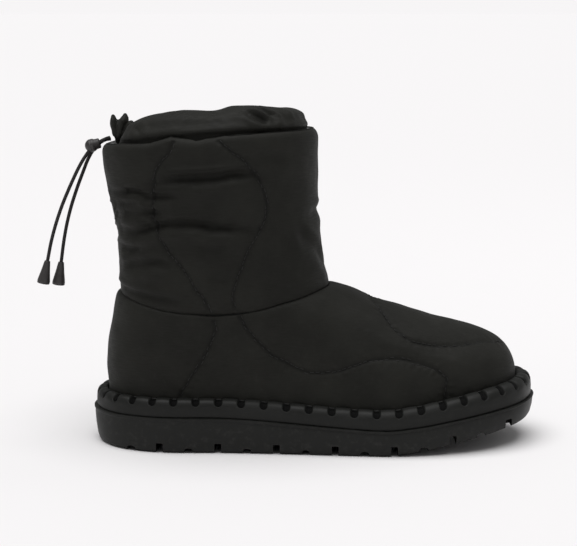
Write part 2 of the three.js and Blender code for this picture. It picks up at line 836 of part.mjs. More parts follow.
function cordTube(points, diameter) {
  const section = new THREE.Shape();
  for (let i = 0; i < cordSides; i += 1) {
    const angle = (2 * Math.PI * (i + 0.5)) / cordSides;
    const place = [(diameter / 2) * Math.cos(angle), (diameter / 2) * Math.sin(angle)];
    if (i === 0) section.moveTo(...place);
    else section.lineTo(...place);
  }
  section.closePath();
  const path = route(points);
  const steps = Math.round(path.getLength() / (cordDiameter * cordStep));
  return new THREE.ExtrudeGeometry(section, { steps, extrudePath: path, bevelEnabled: false });
}

// A turned piece from a profile of [radius, height] pairs, standing at a place along a direction.
function turned(profile, place, direction) {
  const geometry = new THREE.LatheGeometry(profile.map((pair) => new THREE.Vector2(...pair)), turnedSides);
  const turn = new THREE.Quaternion().setFromUnitVectors(new THREE.Vector3(0, 1, 0), direction);
  geometry.applyQuaternion(turn);
  return geometry.translate(place.x, place.y, place.z);
}

function makeLock() {
  const place = new THREE.Vector3(...lockPlace);
  const axis = new THREE.Vector3(...lockNeckEnd).sub(place).normalize();
  const ball = lockDiameter / 2;
  const neckAngle = Math.acos(lockNeck / lockDiameter);
  const profile = [[0, -ball]];
  for (let i = 1; i <= ballSteps; i += 1) {
    const angle = mix(-Math.PI / 2, neckAngle, i / ballSteps);
    profile.push([ball * Math.cos(angle), ball * Math.sin(angle)]);
  }
  profile.push([lockNeckTip / 2, lockLength], [0, lockLength]);
  const bores = [nearRoute, farRoute].map((points) => (
    cordTube(points.slice(0, pointsThroughLock), cordDiameter + 2 * clearance)
  ));
  return cut(turned(profile, place, axis), bores);
}

function makeCordEnd(points) {
  const path = route(points);
  const direction = path.getTangent(1);
  const place = path.getPoint(1).addScaledVector(direction, clearance);
  const profile = endRows.map((row) => [row.wide * cordEndWidth / 2, row.down * cordEndLength]);
  return turned(profile, place, direction);
}

function finish(name, geometry, color, roughness) {
  const mesh = new THREE.Mesh(geometry, new THREE.MeshStandardMaterial({ color, roughness, metalness: 0 }));
  mesh.name = name;
  return mesh;
}

const boot = new THREE.Group();
boot.add(finish('outsole', makeOutsole(), 0x262725, 0.62));
boot.add(finish('welt', makeWelt(), 0x262725, 0.6));
boot.add(finish('insole', makeInsole(), 0x1d1d1c, 0.75));
boot.add(finish('foot_upper', makeFootUpper(), 0x232321, 0.58));
boot.add(finish('shaft', makeShaft(), 0x232321, 0.58));
boot.add(finish('collar', makeCollar(), 0x1f201f, 0.4));
boot.add(finish('cord_lock', makeLock(), 0x413c3c, 0.5));
boot.add(finish('cord_near', cordTube(nearRoute, cordDiameter), 0x2b2a29, 0.7));
boot.add(finish('cord_far', cordTube(farRoute, cordDiameter), 0x2b2a29, 0.7));
boot.add(finish('cord_end_near', makeCordEnd(nearRoute), 0x413c3c, 0.5));
boot.add(finish('cord_end_far', makeCordEnd(farRoute), 0x413c3c, 0.5));

export default boot;
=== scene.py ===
import bpy
import bmesh
import math
import numpy as np
from mathutils import Matrix, Vector, noise
from mathutils.bvhtree import BVHTree
from mathutils.kdtree import KDTree


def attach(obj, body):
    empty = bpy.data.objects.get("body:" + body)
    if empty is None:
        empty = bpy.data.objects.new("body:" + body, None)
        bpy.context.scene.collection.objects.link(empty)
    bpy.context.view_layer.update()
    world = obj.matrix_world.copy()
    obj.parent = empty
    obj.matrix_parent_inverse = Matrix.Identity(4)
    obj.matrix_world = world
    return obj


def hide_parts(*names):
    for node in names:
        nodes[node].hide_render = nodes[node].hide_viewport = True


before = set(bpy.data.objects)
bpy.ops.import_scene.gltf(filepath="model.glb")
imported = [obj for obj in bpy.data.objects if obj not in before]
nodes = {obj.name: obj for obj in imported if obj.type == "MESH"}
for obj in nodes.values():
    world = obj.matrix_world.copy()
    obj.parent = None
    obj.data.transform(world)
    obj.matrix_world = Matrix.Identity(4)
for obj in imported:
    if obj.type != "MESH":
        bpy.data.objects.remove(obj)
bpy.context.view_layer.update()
mm = 0.001
for spare in ("Cube", "Light", "Camera"):
    if spare in bpy.data.objects and spare not in nodes:
        bpy.data.objects.remove(bpy.data.objects[spare])


def deselectAll():
    if bpy.context.object and bpy.context.object.mode != "OBJECT":
        bpy.ops.object.mode_set(mode="OBJECT")
    bpy.ops.object.select_all(action="DESELECT")


def pick(obj):
    deselectAll()
    obj.select_set(True)
    bpy.context.view_layer.objects.active = obj


def editMode(obj, kind="VERT"):
    pick(obj)
    bpy.ops.object.mode_set(mode="EDIT")
    bpy.ops.mesh.select_mode(type=kind)
    bpy.ops.mesh.select_all(action="DESELECT")


def objectMode():
    bpy.ops.object.mode_set(mode="OBJECT")


def choose(obj, kind, test):
    # selects the vertices or faces that pass the test, and nothing else
    bpy.ops.object.mode_set(mode="OBJECT")
    mesh = obj.data
    for part in (*mesh.vertices, *mesh.edges, *mesh.polygons):
        part.select = False
    for part in mesh.vertices if kind == "VERT" else mesh.polygons:
        part.select = test(part)
    bpy.ops.object.mode_set(mode="EDIT")
    bpy.ops.mesh.select_mode(type=kind)


def drawOut(up, widen=1):
    # draws the selected edges out along Z and widens the ring that they make
    bpy.ops.mesh.extrude_edges_move(TRANSFORM_OT_translate={"value": (0, 0, up)})
    bpy.ops.transform.resize(value=(widen, widen, 1))


def joinAll(objs):
    # joins the others to the first
    deselectAll()
    for obj in objs:
        obj.select_set(True)
    bpy.context.view_layer.objects.active = objs[0]
    bpy.ops.object.join()
    return objs[0]


def addModifier(obj, kind, **settings):
    pick(obj)
    mod = obj.modifiers.new(kind.lower(), kind)
    for key, value in settings.items():
        setattr(mod, key, value)
    bpy.ops.object.modifier_apply(modifier=mod.name)


def subdivide(obj, levels):
    addModifier(obj, "SUBSURF", levels=levels, render_levels=levels)


def settle(obj):
    # puts the object's place into its mesh
    pick(obj)
    bpy.ops.object.transform_apply(location=True, rotation=True, scale=True)


def standAlong(obj, place, direction):
    # turns a piece made upright at the origin so that its Z runs along direction, and moves it to place
    turn = Vector(direction).to_track_quat("Z", "Y").to_matrix().to_4x4()
    obj.matrix_world = Matrix.Translation(Vector(place)) @ turn
    settle(obj)


def copyNode(name, newName):
    # a merged copy of a CAD node, its loose triangles joined into quads
    obj = nodes[name].copy()
    obj.data = nodes[name].data.copy()
    obj.parent = None
    obj.matrix_world = nodes[name].matrix_world
    obj.name = newName
    obj.data.materials.clear()
    bpy.context.scene.collection.objects.link(obj)
    editMode(obj)
    bpy.ops.mesh.select_all(action="SELECT")
    bpy.ops.mesh.remove_doubles(threshold=1e-5)
    bpy.ops.mesh.tris_convert_to_quads(face_threshold=math.radians(60), shape_threshold=math.radians(70))
    objectMode()
    settle(obj)
    return obj


def smooth(obj, angle=180):
    pick(obj)
    if angle >= 180:
        bpy.ops.object.shade_smooth()
    else:
        bpy.ops.object.shade_smooth_by_angle(angle=math.radians(angle))


def ease(a, b, x):
    t = np.clip((np.asarray(x, float) - a) / (b - a), 0, 1)  # b may be less than a
    return t * t * (3 - 2 * t)


def between(a, b, c, d, t):
    # the place t of the way from b to c on a smooth curve through all four
    return 0.5 * (2 * b + (c - a) * t + (2 * a - 5 * b + 4 * c - d) * t * t
                  + (3 * b - a - 3 * c + d) * t ** 3)


def coords(obj):
    co = np.empty(len(obj.data.vertices) * 3)
    obj.data.vertices.foreach_get("co", co)
    return co.reshape(-1, 3)


def normals(obj):
    no = np.empty(len(obj.data.vertices) * 3)
    obj.data.vertices.foreach_get("normal", no)
    return no.reshape(-1, 3)


def setCoords(obj, co):
    obj.data.vertices.foreach_set("co", co.ravel())
    obj.data.update()


def saveMask(obj, name, values):
    layer = obj.data.attributes.new(name, "FLOAT", "POINT")
    layer.data.foreach_set("value", np.asarray(values, dtype=np.float32))


camera = {
    "place": (-0.0166, -1.010, 0.270),
    "pitch": 9.2,  # degrees down
    "lens": 100.8,
}


def addCamera():
    turn = (math.radians(90 - camera["pitch"]), 0, 0)
    bpy.ops.object.camera_add(location=camera["place"], rotation=turn)
    cam = bpy.context.object
    cam.name = "camera"
    cam.data.lens = camera["lens"]
    cam.data.sensor_width = 36
    cam.data.clip_start = 0.05
    bpy.context.scene.camera = cam


addCamera()
print("camera is up")


cord = {
    "diameter": 2.2 * mm,
    "around": 12,
    "nearRoute": [  # millimetres, from the collar through the lock to the moulded end
        (-127.8, -1.6, 192.4), (-130.6, -1.7, 191.5), (-134.2, -1.7, 189.7), (-137.6, -1.7, 187.2),
        (-141, -1.7, 184), (-145, -1.8, 178.4), (-148.4, -1.9, 172.4), (-151.5, -2, 166.1),
        (-154.5, -2.1, 159.6), (-159, -2.2, 149), (-162.9, -2.3, 137.9), (-166, -2.4, 127),
        (-168.6, -2.5, 114.9),
    ],
    "farRoute": [
        (-127.8, 1.8, 191.2), (-130.8, 1.8, 190.8), (-134.3, 1.7, 189), (-137.3, 1.7, 186.3),
        (-140.2, 1.7, 182.4), (-142.9, 1.8, 177.3), (-145.2, 1.9, 171.6), (-147.6, 2, 165.6),
        (-149.8, 2.1, 159.8), (-153.6, 2.2, 148.6), (-156.5, 2.3, 137.8), (-158.7, 2.4, 126.8),
        (-160.7, 2.5, 113.4),
    ],
}
lock = {
    "place": (-139.7 * mm, 0, 187.2 * mm),
    "neckEnd": (-134.5 * mm, 0, 188.8 * mm),
    "diameter": 8.4 * mm,
    "neckStart": 0.63,  # shares of the radius
    "neckSeat": 0.68,
    "mouth": [(0.25 * mm, 0.93), (0, 0.8), (-1.6 * mm, 1)],  # rise and widening of each ring
    "mouldLine": 0.12 * mm,
}
cordEnd = {
    "width": 8 * mm,
    "length": 14.6 * mm,
    "gap": 0.3 * mm,
    "mouth": [(0, 0.82), (-1.8 * mm, 0.93)],
    "bore": 0.8 * mm,
    "profile": [(0.44, 0.0), (0.52, 0.12), (0.62, 0.31), (0.74, 0.5), (0.88, 0.7), (1.0, 0.88), (0.98, 1.0)],
}


def smoothRoute(points, steps=6):
    # centripetal curve through the chosen points, in metres
    pts = [Vector(p) * mm for p in points]
    pts = [pts[0] * 2 - pts[1]] + pts + [pts[-1] * 2 - pts[-2]]
    path = []
    for k in range(1, len(pts) - 2):
        p = pts[k - 1:k + 3]
        t = [0.0]
        for a, b in zip(p, p[1:]):
            t.append(t[-1] + max((b - a).length ** 0.5, 1e-6))
        for i in range(steps):
            x = t[1] + (t[2] - t[1]) * i / steps
            mixTo = lambda a, b, ta, tb: a * ((tb - x) / (tb - ta)) + b * ((x - ta) / (tb - ta))
            a1 = mixTo(p[0], p[1], t[0], t[1])
            a2 = mixTo(p[1], p[2], t[1], t[2])
            a3 = mixTo(p[2], p[3], t[2], t[3])
            b1 = mixTo(a1, a2, t[0], t[2])
            b2 = mixTo(a2, a3, t[1], t[3])
            path.append(mixTo(b1, b2, t[1], t[2]))
    path.append(pts[-2])
    return path


def tubeMesh(name, path, radius, around):
    # a capped tube along a path, with a UV map in millimetres: along it and round it
    mesh = bpy.data.meshes.new(name)
    bm = bmesh.new()
    uv = bm.loops.layers.uv.new("weave")
    side = Vector((0, 1, 0))
    rings = []
    run = 0.0
    for i, p in enumerate(path):
        ahead = (path[min(i + 1, len(path) - 1)] - path[max(i - 1, 0)]).normalized()
        up = ahead.cross(side).normalized()
        out = up.cross(ahead)
        run += (p - path[i - 1]).length if i else 0
        ring = []
        for k in range(around):
            a = 2 * math.pi * k / around
            ring.append(bm.verts.new(p + (up * math.cos(a) + out * math.sin(a)) * radius))
        rings.append((run, ring))
    for (runA, a), (runB, b) in zip(rings, rings[1:]):
        for k in range(around):
            j = (k + 1) % around
            face = bm.faces.new((a[k], a[j], b[j], b[k]))
            turn = 2 * math.pi * radius / around
            corners = ((runA, k), (runA, k + 1), (runB, k + 1), (runB, k))
            for loop, (along, step) in zip(face.loops, corners):
                loop[uv].uv = (along / mm, step * turn / mm)
    bm.faces.new(list(reversed(rings[0][1])))
    bm.faces.new(rings[-1][1])
    bmesh.ops.recalc_face_normals(bm, faces=bm.faces)
    bm.to_mesh(mesh)
    bm.free()
    obj = bpy.data.objects.new(name, mesh)
    bpy.context.scene.collection.objects.link(obj)
    smooth(obj, 60)
    return obj


def makeLock():
    r = lock["diameter"] / 2
    deselectAll()
    bpy.ops.mesh.primitive_uv_sphere_add(segments=40, ring_count=24, radius=r)
    obj = bpy.context.object
    obj.name = "cordLock"
    choose(obj, "FACE", lambda f: f.center.z > r * lock["neckStart"])
    bpy.ops.mesh.delete(type="FACE")
    choose(obj, "VERT", lambda v: False)
    bpy.ops.mesh.select_non_manifold()
    reach = (Vector(lock["neckEnd"]) - Vector(lock["place"])).length
    for up, widen in ((reach - r * lock["neckSeat"], 0.95), *lock["mouth"]):
        drawOut(up, widen)
    bpy.ops.mesh.edge_face_add()
    bpy.ops.mesh.select_all(action="SELECT")
    bpy.ops.mesh.normals_make_consistent(inside=False)
    # a moulding line round the ball's middle
    line = lock["mouldLine"]
    choose(obj, "FACE", lambda f: abs(f.center.z) < r * 0.1)
    bpy.ops.mesh.inset(thickness=line, depth=-line)
    objectMode()
    addModifier(obj, "BEVEL", width=line, segments=2, limit_method="ANGLE", angle_limit=math.radians(40))
    smooth(obj, 45)
    standAlong(obj, lock["place"], Vector(lock["neckEnd"]) - Vector(lock["place"]))
    return obj


def makeCordEnd(name, path):
    direction = (path[-1] - path[-2]).normalized()
    deselectAll()
    w, length, profile = cordEnd["width"] / 2, cordEnd["length"], cordEnd["profile"]
    bpy.ops.mesh.primitive_circle_add(vertices=32, radius=w * profile[0][0], fill_type="NOTHING")
    obj = bpy.context.object
    obj.name = name
    editMode(obj, "EDGE")
    bpy.ops.mesh.select_all(action="SELECT")
    for (wide, down), (wider, further) in zip(profile, profile[1:]):
        drawOut((further - down) * length, wider / wide)
    for up, widen in cordEnd["mouth"]:
        drawOut(up, widen)
    bpy.ops.mesh.edge_face_add()
    choose(obj, "VERT", lambda v: v.co.z < 1e-6)
    bpy.ops.mesh.edge_face_add()
    bpy.ops.mesh.inset(thickness=w * 0.16)
    bpy.ops.mesh.extrude_region_move(TRANSFORM_OT_translate={"value": (0, 0, cordEnd["bore"])})
    bpy.ops.mesh.select_all(action="SELECT")
    bpy.ops.mesh.normals_make_consistent(inside=False)
    objectMode()
    addModifier(obj, "BEVEL", width=0.25 * mm, segments=3, limit_method="ANGLE", angle_limit=math.radians(35))
    smooth(obj, 40)
    standAlong(obj, path[-1] + direction * cordEnd["gap"], direction)
    return obj


cordLock = makeLock()
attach(cordLock, "root")
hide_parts("cord_lock")
cordPieces = []
cordEndPieces = []
for word, route in (("near", cord["nearRoute"]), ("far", cord["farRoute"])):
    path = smoothRoute(route)
    strand = tubeMesh("cord" + word.title(), path, cord["diameter"] / 2, cord["around"])
    end = makeCordEnd("cordEnd" + word.title(), path)
    for piece, node, slotName in ((strand, "cord_" + word, "cord_weave"), (end, "cord_end_" + word, "lock_plastic")):
        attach(piece, "root")
        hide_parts(node)
    cordPieces.append(strand)
    cordEndPieces.append(end)
print("cords, lock and ends are made")


# The boot's outline, read from the outsole's top edge: the toe first, then the outer side to the heel,
# and back along the inner side. Every other ring is set from it.
outline = {
    "sideDraft": 4.2 * mm,
    "topInset": 0.3,  # share of the draft that the top edge stands in
    "length": 281 * mm,
    "toeSpring": 16 * mm,
    "springAlong": [0, 0.64, 0.73, 0.81, 0.9, 1],
    "springLift": [0, 0, 0.16, 0.42, 0.72, 1],
    "weltAtHeel": 9 * mm,
    "weltAtToe": 11.5 * mm,
    "weltHeight": 11.4 * mm,
    "weltToeRise": 2.2 * mm,
    "footWall": 3.5 * mm,
}


def readRow(xs, ys, x):
    # a smooth curve through the rows that doesn't overshoot
    xs, ys, x = np.array(xs, float), np.array(ys, float), np.clip(x, xs[0], xs[-1])
    gaps = np.diff(ys) / np.diff(xs)
    slopes = np.concatenate([[gaps[0]], np.zeros(len(xs) - 2), [gaps[-1]]])
    for i in range(1, len(xs) - 1):
        a, b = gaps[i - 1], gaps[i]
        slopes[i] = 0 if a * b <= 0 else 2 * a * b / (a + b)
    k = np.clip(np.searchsorted(xs, x, side="right") - 1, 0, len(xs) - 2)
    span = xs[k + 1] - xs[k]
    t = (x - xs[k]) / span
    flat = ys[k] * (1 + 2 * t) * (1 - t) ** 2 + ys[k + 1] * t * t * (3 - 2 * t)
    return flat + span * (slopes[k] * t * (1 - t) ** 2 + slopes[k + 1] * t * t * (t - 1))


def soleEdge():
    # the points round the outsole's top face, in order
    bm = bmesh.new()
    bm.from_mesh(nodes["outsole"].data)
    bmesh.ops.remove_doubles(bm, verts=bm.verts, dist=1e-5)
    bm.normal_update()
    top = {f for f in bm.faces if f.normal.z > 0.8}
    links = {}
    for e in bm.edges:
        if len([f for f in e.link_faces if f in top]) == 1:
            links.setdefault(e.verts[0], []).append(e.verts[1])
            links.setdefault(e.verts[1], []).append(e.verts[0])
    start = max(links, key=lambda v: v.co.x)
    loop = [start, min(links[start], key=lambda v: v.co.y)]
    while True:
        ahead = [v for v in links[loop[-1]] if v is not loop[-2]][0]
        if ahead is start:
            break
        loop.append(ahead)
    points = np.array([tuple(v.co) for v in loop])
    bm.free()
    return points


def roundLoop(points, count):
    # a closed smooth curve through the points, with count points of its own
    n = len(points)
    place = np.arange(count) * n / count
    k = place.astype(int)
    t = (place - k)[:, None]
    a, b, c, d = (points[(k + i) % n] for i in (-1, 0, 1, 2))
    return between(a, b, c, d, t)


def outwards(ring):
    # flat outward normals of a ring that runs from the toe along the outer side
    run = np.roll(ring, -1, axis=0) - np.roll(ring, 1, axis=0)
    flat = np.stack([run[:, 1], -run[:, 0], np.zeros(len(ring))], axis=1)
    flat /= np.linalg.norm(flat, axis=1)[:, None]
    centre = ring.mean(axis=0)
    if ((ring - centre) * flat).sum() < 0:
        flat = -flat
    return flat


edgePoints = soleEdge()


def edgeRing(count, inset, height):
    # the outline moved in by inset and set to a height, both given for each point's x
    ring = roundLoop(edgePoints, count)
    wide = outline["sideDraft"] * outline["topInset"]
    x = ring[:, 0]
    moved = ring + outwards(ring) * (wide - inset(x))[:, None]
    moved[:, 2] = height(x, ring[:, 2])
    return moved


def floorLift(x):
    along = (x + outline["length"] / 2) / outline["length"]
    return outline["toeSpring"] * readRow(outline["springAlong"], outline["springLift"], along)


def weltRise(x):
    return outline["weltHeight"] + outline["weltToeRise"] * ease(0, outline["length"] / 2, x)


def weltWidth(x):
    half = outline["length"] / 2
    return outline["weltAtHeel"] + (outline["weltAtToe"] - outline["weltAtHeel"]) * ease(-half, half, x)


def loft(name, rings, closed=False):
    # a circle laid on the first ring and drawn out edge by edge to the others
    count = len(rings[0])
    deselectAll()
    bpy.ops.mesh.primitive_circle_add(vertices=count, radius=0.1, fill_type="NOTHING")
    obj = bpy.context.object
    obj.name = name
    setCoords(obj, rings[0])
    last = list(range(count))
    for before, ring in zip(rings, rings[1:]):
        editMode(obj)
        objectMode()
        chosen = set(last)
        for v in obj.data.vertices:
            v.select = v.index in chosen
        for e in obj.data.edges:
            e.select = e.vertices[0] in chosen and e.vertices[1] in chosen
        bpy.ops.object.mode_set(mode="EDIT")
        bpy.ops.mesh.select_mode(type="EDGE")
        bpy.ops.mesh.extrude_edges_move(TRANSFORM_OT_translate={"value": (0, 0, 0)})
        objectMode()
        tree = KDTree(count)
        for i, p in enumerate(before):
            tree.insert(p, i)
        tree.balance()
        fresh = [0] * count
        for v in list(obj.data.vertices)[-count:]:
            fresh[tree.find(v.co)[1]] = v.index
        for i, index in enumerate(fresh):
            obj.data.vertices[index].co = ring[i]
        last = fresh
    first = list(range(count))
    ends = [(first, last)] if closed else [(first, None), (last, None)]
    for a, b in ends:
        if b is None:
            half = count // 2
            runs = [a[1:half], a[half + 1:]]
        else:
            runs = [a + a[:1], b + b[:1]]
        pairs = {frozenset(p) for run in runs for p in zip(run, run[1:])}
        editMode(obj, "EDGE")
        objectMode()
        for e in obj.data.edges:
            e.select = frozenset(e.vertices) in pairs
        bpy.ops.object.mode_set(mode="EDIT")
        bpy.ops.mesh.bridge_edge_loops()
        objectMode()
    editMode(obj)
    bpy.ops.mesh.select_all(action="SELECT")
    bpy.ops.mesh.fill_holes(sides=4)
    bpy.ops.mesh.select_all(action="SELECT")
    bpy.ops.mesh.normals_make_consistent(inside=False)
    objectMode()
    return obj


outsoleSizes = {
    "around": 300,
    "sideUp": [0, 0.025, 0.07, 0.2, 0.5, 0.8, 0.9, 0.925, 0.94, 0.985, 1],
    "sideInset": [1.12, 0.82, 0.55, 0.34, 0.12, 0.02, 0.05, -0.02, -0.1, -0.1, 0.1],  # shares of the draft
    "grooveFromHeel": 44 * mm,
    "groovePitch": 36.2 * mm,
    "grooveWidth": 4.2 * mm,
    "grooveDepth": 6.4 * mm,
    "grooveLength": 50 * mm,  # from a long channel out past the side
    "nickWidth": 5.4 * mm,
    "nickDepth": 3.3 * mm,
    "nickReach": 14 * mm,
    "channelSpread": 36 * mm,
    "channelWidth": 4 * mm,
    "channelDepth": 4 * mm,
    "channelFromEnd": 30 * mm,
}


def addCutter(size, place, rounding):
    deselectAll()
    bpy.ops.mesh.primitive_cube_add(size=1, location=place)
    cutter = bpy.context.object
    cutter.scale = size
    settle(cutter)
    addModifier(cutter, "BEVEL", width=rounding, segments=4)
    return cutter


def makeOutsole():
    s = outsoleSizes
    rings = []
    for up, inset in zip(s["sideUp"], s["sideInset"]):
        rings.append(edgeRing(
            s["around"],
            lambda x, inset=inset: inset * outline["sideDraft"] + x * 0,
            lambda x, top, up=up: floorLift(x) + (top - floorLift(x)) * up,
        ))
    obj = loft("outsoleRubber", rings)
    obj.data.materials.append(bpy.data.materials.new("soleFace"))
    recess = bpy.data.materials.new("soleRecess")
    low = rings[2]
    half = outline["length"] / 2
    cutters = []
    x = -half + s["grooveFromHeel"]
    while x < half - s["groovePitch"] / 2:
        lift = float(floorLift(x))
        nickX = x - s["groovePitch"] / 2
        for side in (-1, 1):
            place = (x, side * (s["channelSpread"] + s["grooveLength"]) / 2, lift)
            size = (s["grooveWidth"], s["grooveLength"], s["grooveDepth"] * 2)
            cutters.append(addCutter(size, place, 0.7 * mm))
            near = low[low[:, 1] * side > 0]
            edge = near[np.abs(near[:, 0] - nickX).argmin(), 1]
            y = edge + side * (0.02 - s["nickReach"])
            place = (nickX, y, float(floorLift(nickX)))
            cutters.append(addCutter((s["nickWidth"], 0.04, s["nickDepth"] * 2), place, 2.0 * mm))
        x += s["groovePitch"]
    for side in (-1, 1):
        place = (0, side * s["channelSpread"] / 2, 0)
        long = outline["length"] - 2 * s["channelFromEnd"]
        cutters.append(addCutter((long, s["channelWidth"], s["channelDepth"] * 2), place, 1 * mm))
    for cutter in cutters:
        cutter.data.materials.append(recess)
        addModifier(obj, "BOOLEAN", object=cutter, operation="DIFFERENCE", solver="EXACT", material_mode="TRANSFER")
        bpy.data.objects.remove(cutter)
    editMode(obj)
    bpy.ops.mesh.select_all(action="SELECT")
    bpy.ops.mesh.remove_doubles(threshold=0.02 * mm)
    bpy.ops.mesh.dissolve_degenerate(threshold=0.02 * mm)
    objectMode()
    smooth(obj, 32)
    return obj


outsole = makeOutsole()
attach(outsole, "root")
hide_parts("outsole")
print("outsole is made", len(outsole.data.polygons))

weltSizes = {
    "perNotch": 28,
    "notches": 24,  # on each half
    "insets": [0.02, 0.0, 0.0, 0.004, 0.035, 0.1, 0.2, 0.34, 0.5, 0.66, 0.82, 0.93, 1.0, 1.0, 1.0, 0.5],
    "ups": [0.0, 0.09, 0.24, 0.42, 0.58, 0.73, 0.86, 0.945, 0.985, 1.0, 0.995, 0.96, 0.88, 0.5, 0.0, 0.0],
    "setIn": 1.3 * mm,
    "gap": 0.6 * mm,
    "lift": 0.1 * mm,
    "notchWidth": 4.5 * mm,
    "notchDepth": 3.0 * mm,
    "notchFoot": 0.66,  # share of the height where a notch ends
    "crisp": 0.9 * mm,  # width of a notch's soft edge
    "swell": 0.35 * mm,  # of the land between two notches
    "pressOut": -0.55,  # a notch is pressed inwards and down
    "pressUp": -0.84,
}


def weltRing(inset, up, count):
    s = weltSizes
    return edgeRing(
        count,
        lambda x: s["setIn"] + (weltWidth(x) - s["gap"] - s["setIn"]) * inset,
        lambda x, top: top + s["lift"] + (weltRise(x) - s["lift"]) * up,
    )


def makeWelt():
    s = weltSizes
    count = 2 * s["perNotch"] * s["notches"]
    # the section's few rows become a rounder run of rows
    rows = np.array(list(zip(s["insets"], s["ups"])))
    ahead = roundLoop(np.column_stack([rows, rows[:, 0] * 0]), len(rows) * 4)[:, :2]
    seen = [i for i in range(len(ahead)) if i % 4 == 0 or 3 < i < 42]  # finer only where it shows
    ahead = np.clip(ahead[seen], 0, 1)
    rings = [weltRing(inset, up, count) for inset, up in ahead]
    stack = np.array(rings)
    # a notch is a stadium pressed into the upper half, deepest along its middle
    base = rings[0]
    steps = np.linalg.norm(np.roll(base, -1, axis=0) - base, axis=1)
    place = (np.arange(count) % s["perNotch"]) - s["perNotch"] / 2
    across = np.abs(place) * steps.mean()
    arc = np.zeros(stack.shape[:2])
    arc[1:] = np.cumsum(np.linalg.norm(np.diff(stack, axis=0), axis=2), axis=0)
    run = np.roll(stack, -1, axis=0) - np.roll(stack, 1, axis=0)
    out = outwards(base)
    flatOut = (run * out[None]).sum(axis=2)
    # outward normal of the section: its run turned by a right angle
    size = np.hypot(flatOut, run[:, :, 2]) + 1e-9
    normal = out[None] * (run[:, :, 2] / size)[:, :, None]
    normal[:, :, 2] = -flatOut / size
    footRow = int(np.argmin(np.abs(ahead[:len(ahead) // 2, 1] - s["notchFoot"])))
    radius = s["notchWidth"] / 2
    below = np.maximum(arc[footRow][None] + radius - arc, 0)
    far = np.hypot(across[None], below)
    deep = 1 - ease(radius - s["crisp"], radius + s["crisp"] * 0.3, far)
    fade = 1 - ease(0.72, 0.96, ahead[:, 0])
    top = arc.mean(axis=1) < arc[:, 0].max() * 0.62
    deep *= (fade * top)[:, None]
    # each land swells a little between its notches
    swell = s["swell"] * ease(0, 1, across / (s["perNotch"] / 2 * steps.mean()))[None] * (fade * top)[:, None]
    swell *= ease(0.45, 0.7, ahead[:, 1])[:, None]
    press = out[None] * s["pressOut"] + np.array([0, 0, s["pressUp"]])[None, None]
    stack += normal * swell[:, :, None] + press * (deep * s["notchDepth"])[:, :, None]
    obj = loft("weltRoll", list(stack), closed=True)
    smooth(obj)
    tree = KDTree(stack.shape[0] * count)
    for i, p in enumerate(stack.reshape(-1, 3)):
        tree.insert(p, i)
    tree.balance()
    flat = deep.ravel()
    # the notch depth is kept as a mask, which the rubber finish uses to paint shade into the notches
    saveMask(obj, "grooveAndShade", [flat[tree.find(v.co)[1]] for v in obj.data.vertices])
    return obj


welt = makeWelt()
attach(welt, "root")
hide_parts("welt")
print("welt is made", len(welt.data.polygons))

insoleSizes = {"thickness": 4 * mm, "lift": 0.3 * mm, "gap": 0.9 * mm, "around": 200}


def makeInsole():
    s = insoleSizes
    rings = []
    for inset, up in ((0.6, 0), (0.1, 0.2), (0, 0.5), (0.15, 0.8), (0.7, 0.97), (1.8, 1)):
        rings.append(edgeRing(
            s["around"],
            lambda x, inset=inset: weltWidth(x) + outline["footWall"] + s["gap"] + inset * mm,
            lambda x, top, up=up: top + s["lift"] + s["thickness"] * up,
        ))
    obj = loft("insoleBoard", rings)
    smooth(obj, 50)
    return obj


insole = makeInsole()
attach(insole, "root")
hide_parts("insole")
print("insole is made")

# Sewn quilt lines, in millimetres. Those of the shaft give the angle round it in degrees (-90 is the
# outer side, 0 the front, 180 the back) and the height; those of the foot are points on the outer side.
# Each has a mirror image on the inner side.
quilt = {
    "grooveDepth": 1.15 * mm,
    "grooveWidth": 1.2 * mm,
    "puff": 1.0 * mm,
    "puffReach": 9 * mm,
    "pucker": 0.26 * mm,
    "puckerPitch": 5.2 * mm,
    "puckerReach": 4.5 * mm,
    "wave": 0.22,  # how much the pucker changes a groove's depth
    "level": 0.55,  # share of the puff that the cloth sinks to begin with
    "waves": [(0.9 * mm, 34 * mm, 3), (0.45 * mm, 12 * mm, 7)],  # height, size and seed of the slow swell
    "shaftLines": [
        [(-81, 194), (-73, 188), (-64, 182), (-59, 176), (-54, 170.5), (-50, 161), (-48, 151), (-51, 142),
         (-55, 135), (-60, 127), (-64, 117), (-67, 110), (-70, 100), (-69, 90)],
        [(-113, 192), (-116, 186), (-122, 180), (-126, 172), (-128, 161), (-129, 148), (-126, 135), (-120, 126),
         (-112, 118), (-104, 109.5), (-100, 103), (-93, 97), (-88, 88)],
    ],
    "footLines": [
        [(-62.3, -41.4, 83), (-61.5, -40.6, 76.5), (-64.1, -39.6, 70), (-67.9, -38.3, 61),
         (-74.8, -36.6, 49.6), (-81.2, -35.1, 39.4), (-84, -34.5, 34)],
        [(-46.5, -41, 86.5), (-40.8, -40, 76.3), (-32.9, -38.8, 67.3), (-26.1, -38.2, 60.9), (-20, -38.1, 57.5),
         (-11.4, -38.2, 52.8), (-1.5, -38.7, 50.1), (12.6, -39.5, 51.2), (24.2, -39.6, 55), (36.2, -38.7, 58.6),
         (53.2, -37.6, 58.9), (63.1, -37.6, 56.4), (72.7, -37.4, 53.2), (78.5, -38.3, 48.7), (81, -38, 45.8),
         (80.6, -38.1, 33)],
        [(35, 0, 91.5), (37.4, -5.9, 90.7), (39.6, -11.3, 88.5), (42.4, -17.6, 84.6), (45.9, -23, 79.9),
         (51.2, -27.3, 74.4), (58.5, -30.1, 69.3), (67.9, -29.9, 66.7), (77.3, -28.4, 65.5), (86.2, -25.9, 65.3),
         (94.7, -22, 65.7), (104.9, -15.1, 66.6), (114.5, -8.7, 65.6), (120.8, 0.5, 62.5)],
    ],
}

